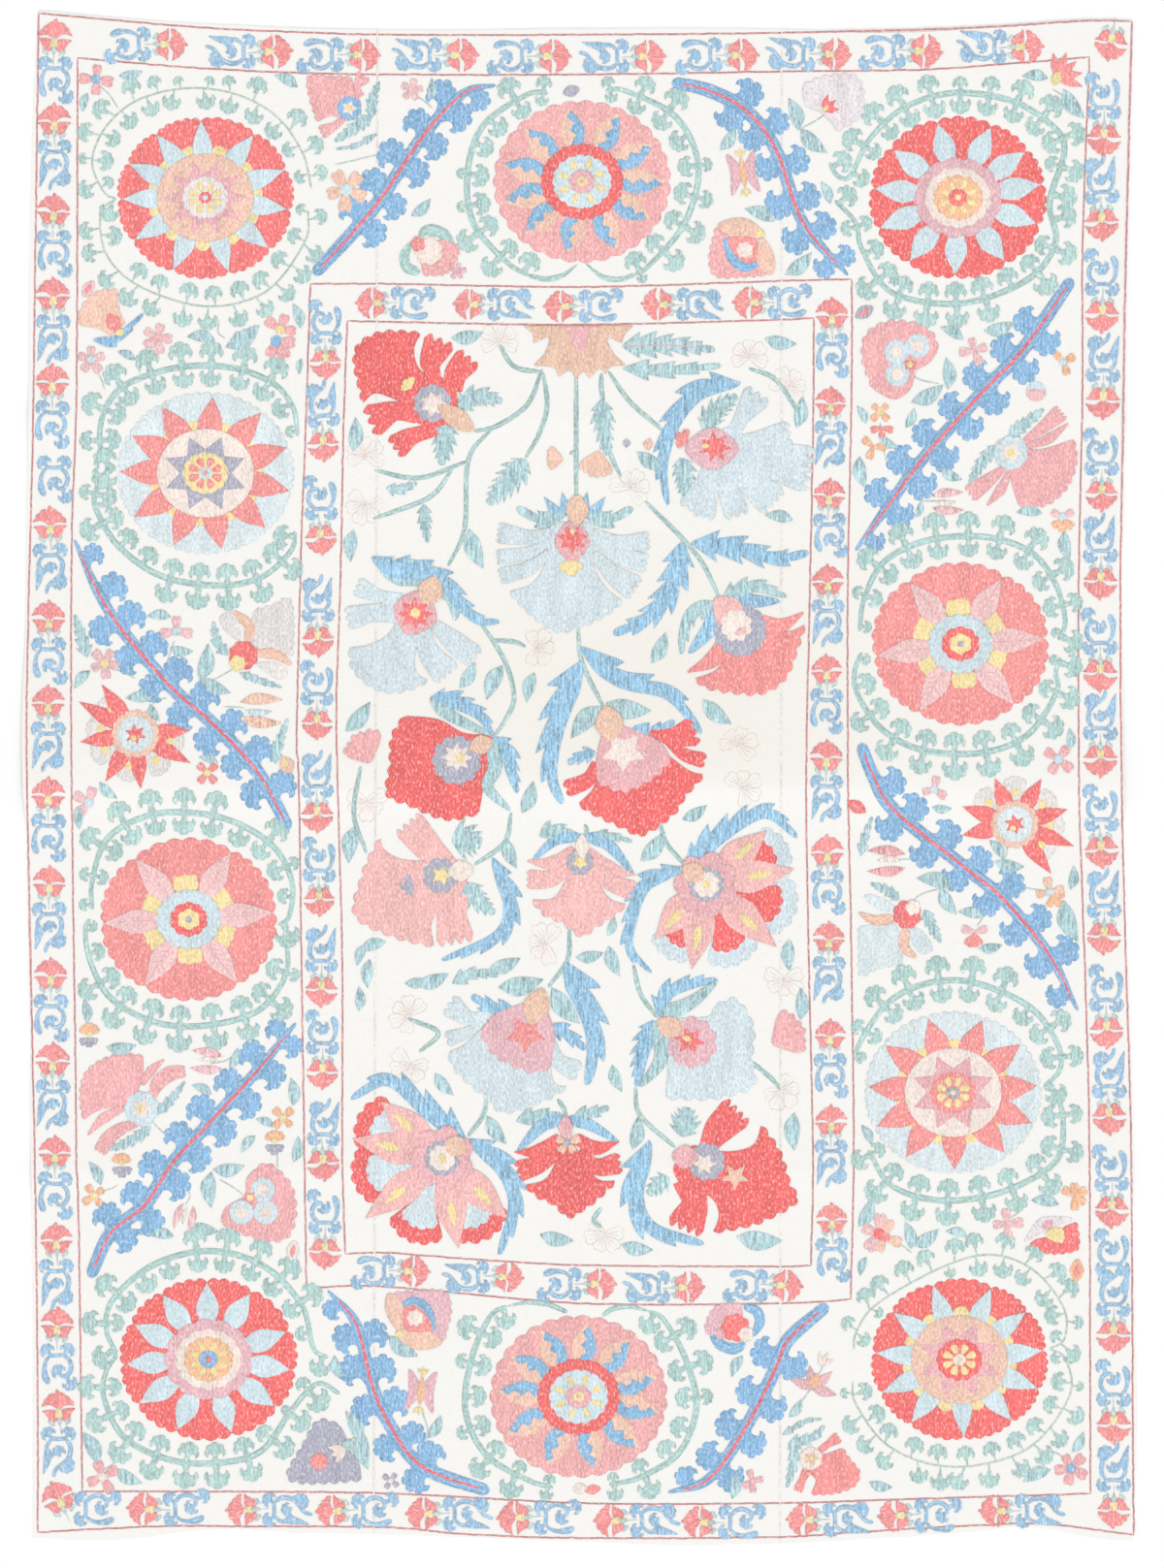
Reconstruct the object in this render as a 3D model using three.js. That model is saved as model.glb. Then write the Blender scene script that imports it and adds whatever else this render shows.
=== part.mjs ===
// A suzani: a large embroidered cloth of three loom widths sewn edge to edge, lying face up.
// Millimetres. X runs across the cloth, Y along it towards its upper edge, and Z up from the floor.
import * as THREE from 'three';

const CLOTH_THICKNESS = 1.5;
const SEAM_GAP = 0.3;
const CLOTH_COLOUR = 0xf8f6f2;
const CLOTH_ROUGHNESS = 0.9;

// The cloth is divided every so often for its wavering edges, and more closely at each fold.
const HALF_LENGTH = 1172;
const PITCH_ACROSS = 75;
const PITCH_ALONG = 80;
const LEAST_STEP = 14;
const FOLD_STEPS = [0, 0.2, 0.5, 1];

// How fast an edge's waver dies out inside the cloth, as a power of the way across.
const WAVER_POWER = 8;

// Where the four edges run. Each waver comes from the weave's uneven width and the hand-turned hem.
const LEFT_EDGE = [
  { y: 1185, x: -838 },
  { y: 948, x: -848 },
  { y: 588, x: -853 },
  { y: 228, x: -858 },
  { y: -12, x: -861 },
  { y: -132, x: -853 },
  { y: -492, x: -850 },
  { y: -852, x: -846 },
  { y: -1182, x: -846 },
];
const RIGHT_EDGE = [
  { y: 1176, x: 852 },
  { y: 948, x: 844 },
  { y: 588, x: 837 },
  { y: 348, x: 837 },
  { y: 108, x: 839 },
  { y: -132, x: 842 },
  { y: -492, x: 850 },
  { y: -852, x: 858 },
  { y: -1000, x: 861 },
  { y: -1185, x: 855 },
];
const TOP_EDGE = [
  { x: -840, y: 1185 },
  { x: -693, y: 1173 },
  { x: -519, y: 1163 },
  { x: -345, y: 1157 },
  { x: 3, y: 1158 },
  { x: 351, y: 1156 },
  { x: 480, y: 1152 },
  { x: 612, y: 1159 },
  { x: 786, y: 1170 },
  { x: 855, y: 1173 },
];
const BOTTOM_EDGE = [
  { x: -850, y: -1176 },
  { x: -693, y: -1177 },
  { x: -606, y: -1166 },
  { x: -432, y: -1168 },
  { x: -171, y: -1175 },
  { x: 3, y: -1182 },
  { x: 264, y: -1185 },
  { x: 438, y: -1178 },
  { x: 612, y: -1166 },
  { x: 699, y: -1160 },
  { x: 786, y: -1176 },
  { x: 855, y: -1182 },
];

// The two seams between the loom widths.
const LEFT_SEAM = [
  { y: 1185, x: -313 },
  { y: -1185, x: -319 },
];
const RIGHT_SEAM = [
  { y: 1185, x: 312 },
  { y: -1185, x: 309 },
];

// Pressed folds that storage left, as low ridges. A fold crosses an axis at "at" and rises to "height".
// "before" and "after" are its reach to either side. It runs between "from" and "to" and fades over "fade".
const FOLDS = [
  { crosses: 'y', at: -15, before: 70, after: 320, height: 6, from: -1000, to: 1000, fade: 100 },
  { crosses: 'y', at: 556, before: 60, after: 60, height: 2, from: -1000, to: 1000, fade: 100 },
  { crosses: 'y', at: -608, before: 60, after: 60, height: 2.5, from: -1000, to: 1000, fade: 100 },
  { crosses: 'x', at: 3, before: 45, after: 45, height: 3.5, from: -1060, to: -560, fade: 160 },
  { crosses: 'x', at: 453, before: 45, after: 60, height: 2, from: 60, to: 800, fade: 160 },
];

// A smooth curve through a table's rows, as a function from one of its columns to the other.
function curveThrough(rows, column, value) {
  const sorted = [...rows].sort((first, second) => first[column] - second[column]);
  const places = sorted.map((row) => row[column]);
  const values = sorted.map((row) => row[value]);
  const curve = new THREE.CubicInterpolant(places, values, 1, new Float64Array(1));
  const [first, last] = [places[0], places[places.length - 1]];
  return (place) => curve.evaluate(THREE.MathUtils.clamp(place, first, last))[0];
}

const leftEdge = curveThrough(LEFT_EDGE, 'y', 'x');
const rightEdge = curveThrough(RIGHT_EDGE, 'y', 'x');
const topEdge = curveThrough(TOP_EDGE, 'x', 'y');
const bottomEdge = curveThrough(BOTTOM_EDGE, 'x', 'y');
const leftSeam = curveThrough(LEFT_SEAM, 'y', 'x');
const rightSeam = curveThrough(RIGHT_SEAM, 'y', 'x');

// Height of the cloth's underside over the floor: 0 where it lies flat.
function liftAt(x, y) {
  let lift = 0;
  for (const fold of FOLDS) {
    const offset = (fold.crosses === 'y' ? y : x) - fold.at;
    const along = fold.crosses === 'y' ? x : y;
    const reach = offset < 0 ? fold.before : fold.after;
    const rise = Math.max(0, 1 - Math.abs(offset) / reach) ** 2;
    const begins = THREE.MathUtils.smoothstep(along, fold.from, fold.from + fold.fade);
    const ends = 1 - THREE.MathUtils.smoothstep(along, fold.to - fold.fade, fold.to);
    lift += fold.height * rise * begins * ends;
  }
  return lift;
}

// Dividing lines from low to high: close ones at the folds that cross the axis, even ones elsewhere.
function stations(axis, low, high, pitch) {
  const lines = [low, high];
  for (const fold of FOLDS.filter((each) => each.crosses === axis)) {
    for (const step of FOLD_STEPS) {
      lines.push(fold.at - step * fold.before, fold.at + step * fold.after);
    }
  }
  const count = Math.ceil((high - low) / pitch);
  for (let index = 1; index < count; index += 1) {
    lines.push(low + (index * (high - low)) / count);
  }
  const kept = [];
  for (const line of lines) {
    const inside = line >= low && line <= high;
    if (inside && kept.every((other) => Math.abs(other - line) >= LEAST_STEP)) kept.push(line);
  }
  return kept.sort((first, second) => first - second);
}

// Moves a dividing line at one share of the way from low to high so that the two ends meet their edges.
function follow(line, share, lowEnd, lowEdge, highEnd, highEdge) {
  const pulledLow = (lowEdge - lowEnd) * (1 - share) ** WAVER_POWER;
  const pulledHigh = (highEdge - highEnd) * share ** WAVER_POWER;
  return line + pulledLow + pulledHigh;
}

// One loom width: a closed sheet between two side curves, bent over the folds.
function loomWidth(name, lowSide, highSide) {
  const [lowX, highX] = [lowSide(0), highSide(0)];
  const columns = stations('x', lowX, highX, PITCH_ACROSS);
  const rows = stations('y', -HALF_LENGTH, HALF_LENGTH, PITCH_ALONG);
  const [lastColumn, lastRow] = [columns.length - 1, rows.length - 1];
  const sheet = new THREE.BoxGeometry(lastColumn, lastRow, 1, lastColumn, lastRow, 1);
  const points = sheet.attributes.position;
  for (let index = 0; index < points.count; index += 1) {
    const column = columns[Math.round(points.getX(index) + lastColumn / 2)];
    const row = rows[Math.round(points.getY(index) + lastRow / 2)];
    const along = (row + HALF_LENGTH) / (2 * HALF_LENGTH);
    const across = (column - lowX) / (highX - lowX);
    const y = follow(row, along, -HALF_LENGTH, bottomEdge(column), HALF_LENGTH, topEdge(column));
    const x = follow(column, across, lowX, lowSide(y), highX, highSide(y));
    const upper = points.getZ(index) > 0 ? CLOTH_THICKNESS : 0;
    points.setXYZ(index, x, y, liftAt(x, y) + upper);
  }
  sheet.computeVertexNormals();
  const cotton = new THREE.MeshStandardMaterial({
    color: CLOTH_COLOUR,
    roughness: CLOTH_ROUGHNESS,
    metalness: 0,
  });
  const panel = new THREE.Mesh(sheet, cotton);
  panel.name = name;
  return panel;
}

const halfGap = SEAM_GAP / 2;
const suzani = new THREE.Group();
suzani.add(loomWidth('panel_left', leftEdge, (y) => leftSeam(y) - halfGap));
suzani.add(loomWidth('panel_centre', (y) => leftSeam(y) + halfGap, (y) => rightSeam(y) - halfGap));
suzani.add(loomWidth('panel_right', (y) => rightSeam(y) + halfGap, rightEdge));

export default suzani;
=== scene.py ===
import bpy
import numpy as np
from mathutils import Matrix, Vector
from mathutils.geometry import delaunay_2d_cdt


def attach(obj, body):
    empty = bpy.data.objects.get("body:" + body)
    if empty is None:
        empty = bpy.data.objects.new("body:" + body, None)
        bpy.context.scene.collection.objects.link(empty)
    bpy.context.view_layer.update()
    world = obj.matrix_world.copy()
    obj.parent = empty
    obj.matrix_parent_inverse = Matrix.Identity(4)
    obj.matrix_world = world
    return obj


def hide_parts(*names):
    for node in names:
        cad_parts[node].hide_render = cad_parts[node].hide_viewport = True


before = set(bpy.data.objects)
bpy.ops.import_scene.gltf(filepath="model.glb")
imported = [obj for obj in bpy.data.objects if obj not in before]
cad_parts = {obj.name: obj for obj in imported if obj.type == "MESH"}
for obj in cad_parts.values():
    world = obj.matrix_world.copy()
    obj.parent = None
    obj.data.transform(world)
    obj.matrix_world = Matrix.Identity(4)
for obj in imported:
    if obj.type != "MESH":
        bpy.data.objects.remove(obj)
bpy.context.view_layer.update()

# The ground is three hand-loomed widths of plain off-white cotton, sewn edge to edge and hemmed by hand.
# It was stored folded, so low pressed ridges cross it, and between them it lies flat on the floor.
# Edges and folds are in millimetres from the middle of the cloth, as (place, value) rows.
MM = 0.001
CLOTH_THICKNESS = 1.5 * MM
LEFT_EDGE = ((1185, -838), (948, -848), (588, -853), (228, -858), (-12, -861), (-132, -853),
             (-492, -850), (-852, -846), (-1182, -846))
RIGHT_EDGE = ((1176, 852), (948, 844), (588, 837), (348, 837), (108, 839), (-132, 842),
              (-492, 850), (-852, 858), (-1000, 861), (-1185, 855))
TOP_EDGE = ((-840, 1185), (-693, 1173), (-519, 1163), (-345, 1157), (3, 1158), (351, 1156),
            (480, 1152), (612, 1159), (786, 1170), (855, 1173))
BOTTOM_EDGE = ((-850, -1176), (-693, -1177), (-606, -1166), (-432, -1168), (-171, -1175), (3, -1182),
               (264, -1185), (438, -1178), (612, -1166), (699, -1160), (786, -1176), (855, -1182))
LEFT_SEAM = ((1185, -313), (-1185, -319))
RIGHT_SEAM = ((1185, 312), (-1185, 309))
SEAM_GAP = 0.3
HALF_LENGTH = 1172
WAVER_POWER = 8
CREST_SOFTNESS = 8
FOLDS = (
    {"crosses": "y", "at": -15, "before": 70, "after": 320, "height": 6, "from": -1000, "to": 1000,
     "fade": 100},
    {"crosses": "y", "at": 556, "before": 60, "after": 60, "height": 2, "from": -1000, "to": 1000,
     "fade": 100},
    {"crosses": "y", "at": -608, "before": 60, "after": 60, "height": 2.5, "from": -1000, "to": 1000,
     "fade": 100},
    {"crosses": "x", "at": 3, "before": 45, "after": 45, "height": 3.5, "from": -1060, "to": -560,
     "fade": 160},
    {"crosses": "x", "at": 453, "before": 45, "after": 60, "height": 2, "from": 60, "to": 800, "fade": 160},
)


def through(rows, at):
    """Values at the asked places of a smooth curve through a table's (place, value) rows."""
    place, value = np.array(sorted(rows), float).T
    slope = np.gradient(value, place)
    at = np.clip(at, place[0], place[-1])
    low = np.clip(np.searchsorted(place, at) - 1, 0, len(place) - 2)
    span = place[low + 1] - place[low]
    t = (at - place[low]) / span
    from_low = value[low] + t * span * slope[low]
    from_high = value[low + 1] - (1 - t) * span * slope[low + 1]
    ease = t * t * (3 - 2 * t)
    return from_low * (1 - ease) + from_high * ease


def eased(value, low, high):
    """Rises smoothly from 0 at low to 1 at high."""
    t = np.clip((value - low) / (high - low), 0, 1)
    return t * t * (3 - 2 * t)


def lift(x, y):
    """How high the cloth's underside stands over the floor, in millimetres."""
    height = 0.12 * (2 + np.sin(x / 61 + y / 143) + np.sin(y / 87 - x / 119))
    for fold in FOLDS:
        offset = (y if fold["crosses"] == "y" else x) - fold["at"]
        along = x if fold["crosses"] == "y" else y
        reach = np.where(offset < 0, fold["before"], fold["after"])
        away = np.sqrt(offset ** 2 + CREST_SOFTNESS ** 2) - CREST_SOFTNESS
        rise = np.clip(1 - away / reach, 0, 1) ** 2
        begins = eased(along, fold["from"], fold["from"] + fold["fade"])
        ends = 1 - eased(along, fold["to"] - fold["fade"], fold["to"])
        height = height + fold["height"] * rise * begins * ends
    return height


def dyed(red, green, blue):
    """A shade given as it looks, 0 to 255, as the light that the thread reflects."""
    shade = np.array([red, green, blue], float) / 255
    return np.where(shade <= 0.04045, shade / 12.92, ((shade + 0.055) / 1.055) ** 2.4)


def stations(axis, low, high, pitch, fine):
    """Dividing lines from low to high, closer together over the folds that cross the axis."""
    lines = [np.linspace(low, high, int((high - low) / pitch) + 1)]
    for fold in FOLDS:
        if fold["crosses"] == axis:
            lines.append(np.arange(fold["at"] - 24, fold["at"] + 25, fine))
    lines = np.unique(np.concatenate(lines))
    lines = lines[(lines >= low) & (lines <= high)]
    close = np.diff(lines) < fine * 0.6
    return lines[np.concatenate([[True], ~close])] if not close[-1:].any() else lines


def loom_width(name, low_side, high_side):
    """One width of cloth as a closed thin sheet between two side curves, bent over the folds."""
    low_x, high_x = low_side(0.0), high_side(0.0)
    columns = stations("x", low_x, high_x, 12, 3)
    rows = stations("y", -HALF_LENGTH, HALF_LENGTH, 12, 3)
    column, row = np.meshgrid(columns, rows)
    along = (row + HALF_LENGTH) / (2 * HALF_LENGTH)
    across = (column - low_x) / (high_x - low_x)
    bottom, top = through(BOTTOM_EDGE, column), through(TOP_EDGE, column)
    y = row + (bottom + HALF_LENGTH) * (1 - along) ** WAVER_POWER + (top - HALF_LENGTH) * along ** WAVER_POWER
    x = column + (low_side(y) - low_x) * (1 - across) ** WAVER_POWER
    x = x + (high_side(y) - high_x) * across ** WAVER_POWER
    under = lift(x, y)
    upper = np.stack([x, y, under + CLOTH_THICKNESS / MM], -1).reshape(-1, 3)
    lower = np.stack([x, y, under], -1).reshape(-1, 3)
    points = np.vstack([upper, lower]) * MM
    count = column.size
    index = np.arange(count).reshape(column.shape)
    quads = np.stack([index[:-1, :-1], index[:-1, 1:], index[1:, 1:], index[1:, :-1]], -1).reshape(-1, 4)
    rim = np.concatenate([index[0, :-1], index[:-1, -1], index[-1, :0:-1], index[:0:-1, 0]])
    onward = np.roll(rim, -1)
    sides = np.stack([rim, rim + count, onward + count, onward], -1)
    faces = np.vstack([quads, quads[:, ::-1] + count, sides])
    mesh = bpy.data.meshes.new(name)
    mesh.from_pydata(points.tolist(), [], faces.tolist())
    mesh.shade_smooth()
    mesh.set_sharp_from_angle(angle=np.radians(50))
    # Painted shade: the off-white darkens to a cream in a band from the middle fold to about 520 mm above it,
    # strongest from 30 to 150 mm and varying along the width. It stands in for the fold's upper side turned
    # away from the lamp.
    painted_fold_shade = np.tile((0.5 + 0.5 * np.sin(x / 211 + 1)) * eased(y, -20, 30) * (1 - eased(y, 150, 520)),
                  (2, 1)).ravel()
    shade = dyed(249, 247, 243) * (1 - painted_fold_shade[:, None]) + dyed(246, 242, 235) * painted_fold_shade[:, None]
    tone = mesh.color_attributes.new("tone", "FLOAT_COLOR", "POINT")
    tone.data.foreach_set("color", np.column_stack([shade, np.ones(len(shade))]).ravel())
    panel = bpy.data.objects.new(name, mesh)
    bpy.context.collection.objects.link(panel)
    return panel


def joined(tree, start, end):
    """Joins one node's socket to another's, each given as (node, socket name or number)."""
    tree.links.new(start[0].outputs[start[1]], end[0].inputs[end[1]])


def added(tree, kind, settings=None, operation=None):
    """A new node of a material, with some of its inputs set."""
    node = tree.nodes.new("ShaderNode" + kind)
    if operation:
        node.operation = operation
    for socket, value in (settings or {}).items():
        node.inputs[socket].default_value = value
    return node


def woven_cotton():
    """Plain weave: fine uneven threads over the off-white held in each point's colour, which also carries a
    painted shade in a band above the middle fold.
    """
    cotton = bpy.data.materials.new("woven_cotton")
    cotton.use_nodes = True
    tree = cotton.node_tree
    shader = tree.nodes["Principled BSDF"]
    shader.inputs["Roughness"].default_value = 0.9
    shader.inputs["Specular IOR Level"].default_value = 0.15
    tone = added(tree, "VertexColor")
    tone.layer_name = "tone"
    place = added(tree, "TexCoord")
    slub = added(tree, "TexNoise", {"Scale": 260, "Detail": 4})
    ramp = added(tree, "MapRange", {"To Min": 0.95, "To Max": 1.05})
    shaded = added(tree, "VectorMath", operation="SCALE")
    bump = added(tree, "Bump", {"Strength": 0.25, "Distance": 0.0004})
    joined(tree, (place, "Object"), (slub, "Vector"))
    joined(tree, (slub, "Fac"), (ramp, "Value"))
    joined(tree, (tone, "Color"), (shaded, 0))
    joined(tree, (ramp, "Result"), (shaded, "Scale"))
    joined(tree, (shaded, "Vector"), (shader, "Base Color"))
    joined(tree, (slub, "Fac"), (bump, "Height"))
    joined(tree, (bump, "Normal"), (shader, "Normal"))
    return cotton


half_gap = SEAM_GAP / 2
panels = {
    "panel_left": loom_width(
        "cloth_left", lambda y: through(LEFT_EDGE, y), lambda y: through(LEFT_SEAM, y) - half_gap),
    "panel_centre": loom_width(
        "cloth_centre", lambda y: through(LEFT_SEAM, y) + half_gap,
        lambda y: through(RIGHT_SEAM, y) - half_gap),
    "panel_right": loom_width(
        "cloth_right", lambda y: through(RIGHT_SEAM, y) + half_gap, lambda y: through(RIGHT_EDGE, y)),
}
cotton = woven_cotton()
for node, panel in panels.items():
    panel.data.materials.append(cotton)
    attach(panel, "root")
    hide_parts(node)

# Four thin double lines of dull red chain stitch frame the borders, drawn on the cloth by hand.
# All needlework is counted in stitches of 1.5 mm, across from the left and down from the top.
# Laid silk stands a little proud of the cloth, is held down by small couching stitches and has a firm rim.
STITCH = 1.5 * MM
MIDDLE_ACROSS = 598
MIDDLE_DOWN = 802
LAID_CLEARANCE = 0.3 * MM
LAYER_RISE = 0.45 * MM
PILLOW = 0.4 * MM
RIM = 1.2
SPREAD = 5.5
LINE_RED = dyed(214, 150, 152)
rng = np.random.default_rng(7)
sewn = []


def smooth(points, step=2.5, closed=False):
    """A smooth line through a few points, with a point about every step stitches."""
    p = np.asarray(points, float)
    q = np.vstack([p[-1:], p, p[:2]]) if closed else np.vstack([2 * p[0] - p[1], p, 2 * p[-1] - p[-2]])
    t = np.linspace(0, 1, 10, endpoint=False)[:, None]
    arcs = [
        0.5 * (2 * b + (c - a) * t + (2 * a - 5 * b + 4 * c - d) * t ** 2 + (3 * b - a - 3 * c + d) * t ** 3)
        for a, b, c, d in zip(q[:-3], q[1:-2], q[2:-1], q[3:])
    ]
    line = np.vstack(arcs + [p[:1] if closed else p[-1:]])
    run = np.concatenate([[0], np.cumsum(np.hypot(*np.diff(line, axis=0).T))])
    at = np.linspace(0, run[-1], max(3, int(run[-1] / step) + 1))
    even = np.column_stack([np.interp(at, run, line[:, 0]), np.interp(at, run, line[:, 1])])
    return even[:-1] if closed else even


def cornered(runs, step=2.2):
    """A closed outline of smooth runs that meet in sharp corners."""
    return np.vstack([smooth(run, step)[:-1] for run in runs])


def mirrored(runs, step=2.2):
    """A closed outline from the runs of its right half, from the top middle down."""
    half = np.vstack([smooth(run, step)[:-1] for run in runs] + [np.array(runs[-1][-1:], float)])
    left = half[::-1] * (-1, 1)
    return np.vstack([half, left[np.abs(left[:, 0]) > 0.01]])


def laid(points, at=(0, 0), turn=0, size=1, flip=False):
    """Moves points drawn about (0, 0) to a place on the cloth, turned clockwise by degrees."""
    p = np.asarray(points, float) * size * ((-1, 1) if flip else (1, 1))
    c, s = np.cos(np.radians(turn)), np.sin(np.radians(turn))
    return np.column_stack([p[:, 0] * c - p[:, 1] * s, p[:, 0] * s + p[:, 1] * c]) + at


def cut(outline, spread=SPREAD):
    """Divides a closed outline into triangles. Gives its points, faces and each point's depth inside."""
    edge = np.asarray(outline, float)
    onward = np.roll(edge, -1, 0)
    if np.sum(edge[:, 0] * onward[:, 1] - onward[:, 0] * edge[:, 1]) < 0:
        edge = edge[::-1]
        onward = np.roll(edge, -1, 0)
    step = onward - np.roll(edge, 1, 0)
    inward = np.column_stack([-step[:, 1], step[:, 0]]) / (np.hypot(*step.T)[:, None] + 1e-9)
    low, high = edge.min(0), edge.max(0)
    across, down = np.meshgrid(np.arange(low[0], high[0], spread), np.arange(low[1], high[1], spread * 0.87))
    across[1::2] += spread / 2
    loose = np.column_stack([across.ravel(), down.ravel()])
    inner = np.vstack([edge + RIM * inward, loose])
    span = onward - edge
    t = ((inner[:, None] - edge) * span).sum(2) / ((span ** 2).sum(1) + 1e-12)
    nearest = edge + np.clip(t, 0, 1)[..., None] * span
    depth = np.sqrt(((inner[:, None] - nearest) ** 2).sum(2)).min(1)
    x, y = inner[:, :1], inner[:, 1:]
    straddles = (edge[:, 1] > y) != (onward[:, 1] > y)
    beyond = x < span[:, 0] * (y - edge[:, 1]) / np.where(span[:, 1] == 0, 1e-12, span[:, 1]) + edge[:, 0]
    inside = (straddles & beyond).sum(1) % 2 == 1
    least = np.where(np.arange(len(inner)) < len(edge), RIM * 0.8, RIM * 2)
    keep = inside & (depth > least)
    points = np.vstack([edge, inner[keep]])
    depth = np.concatenate([np.zeros(len(edge)), depth[keep]])
    ring = [(k, (k + 1) % len(edge)) for k in range(len(edge))]
    found = delaunay_2d_cdt([Vector(p) for p in points.tolist()], ring, [], 1, 1e-6)
    first = [source[0] if source else 0 for source in found[3]]
    points = np.array([tuple(p) for p in found[0]])
    return points, [f[::-1] for f in found[2]], depth[first]


def stitch(patch, thread, at=(0, 0), turn=0, size=1, flip=False, layer=0, grain=90, rim=0.86, streak=0.35):
    """Lays a cut patch on the cloth in one thread, its silk running along the grain's direction."""
    points, faces, depth = patch
    placed = laid(points, at, turn, size, flip)
    pillow = np.clip(depth * size / 3, 0, 1)
    pillow = np.sqrt(pillow * (2 - pillow))
    shade = thread * rng.uniform(0.97, 1.03) * (rim + (1 - rim) * np.clip(depth[:, None] * size / RIM, 0, 1))
    faces = [f[::-1] for f in faces] if flip else faces
    sewn.append((placed, faces, pillow, shade, layer + rng.uniform(0, 0.3), laid(placed, turn=-grain),
                 streak))


def fill(outline, thread, **how):
    """Fills one closed outline with laid thread."""
    stitch(cut(outline), thread, **how)


def couch(spine, width, thread, layer=0, streak=0.35, rim=0.86):
    """A couched stem along a spine. Its width is one number, or several spread evenly along it."""
    spine = np.asarray(spine, float)
    run = np.concatenate([[0], np.cumsum(np.hypot(*np.diff(spine, axis=0).T))])
    widths = np.atleast_1d(np.asarray(width, float))
    half = np.interp(run / run[-1], np.linspace(0, 1, len(widths)), widths) / 2
    half = half * np.sqrt(np.clip(np.minimum(run, run[-1] - run) / np.maximum(half, 0.1) + 0.15, 0, 1))
    step = np.gradient(spine, axis=0)
    side = np.column_stack([-step[:, 1], step[:, 0]]) / (np.hypot(*step.T)[:, None] + 1e-9)
    reach = np.array([-1, -0.45, 0.45, 1])
    points = (spine[:, None] + side[:, None] * (half[:, None] * reach)[..., None]).reshape(-1, 2)
    index = np.arange(len(points)).reshape(-1, 4)
    faces = np.stack([index[:-1, :-1], index[:-1, 1:], index[1:, 1:], index[1:, :-1]], -1).reshape(-1, 4)
    core = np.tile([0.0, 1.0, 1.0, 0.0], len(spine))
    shade = thread * rng.uniform(0.97, 1.03) * (rim + (1 - rim) * core[:, None])
    grain = np.column_stack([np.repeat(run, 4), (half[:, None] * reach).ravel()]) + rng.uniform(0, 900, 2)
    sewn.append((points, faces.tolist(), core * np.clip(np.repeat(half, 4) / 3, 0.3, 1), shade, layer,
                 grain, streak))


def gather(name):
    """Joins what has been sewn since the last gathering into one raised piece that lies on the cloth."""
    start, points, faces, pillow, shade, layer, grain, streak = 0, [], [], [], [], [], [], []
    for placed, loops, puff, colour, level, thread_way, streaks in sewn:
        points.append(placed)
        faces.extend([[start + k for k in loop] for loop in loops])
        pillow.append(puff)
        shade.append(colour)
        layer.append(np.full(len(placed), level, float))
        grain.append(thread_way)
        streak.append(np.full(len(placed), streaks))
        start += len(placed)
    sewn.clear()
    drawn = np.vstack(points)
    x, y = (drawn[:, 0] - MIDDLE_ACROSS) * STITCH, (MIDDLE_DOWN - drawn[:, 1]) * STITCH
    z = lift(x / MM, y / MM) * MM + CLOTH_THICKNESS + LAID_CLEARANCE
    z = z + LAYER_RISE * np.concatenate(layer) + PILLOW * np.concatenate(pillow)
    mesh = bpy.data.meshes.new(name)
    mesh.from_pydata(np.column_stack([x, y, z]).tolist(), [], faces)
    mesh.shade_smooth()
    colour = np.column_stack([np.vstack(shade), np.ones(start)])
    mesh.color_attributes.new("dye", "FLOAT_COLOR", "POINT").data.foreach_set("color", colour.ravel())
    mesh.attributes.new("streak", "FLOAT", "POINT").data.foreach_set("value", np.concatenate(streak))
    corner = np.empty(len(mesh.loops), np.int32)
    mesh.loops.foreach_get("vertex_index", corner)
    way = np.vstack(grain) * STITCH
    mesh.uv_layers.new(name="thread_way").data.foreach_set("uv", way[corner].ravel())
    piece = bpy.data.objects.new(name, mesh)
    bpy.context.collection.objects.link(piece)
    mesh.materials.append(silk)
    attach(piece, "root")
    return piece


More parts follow.
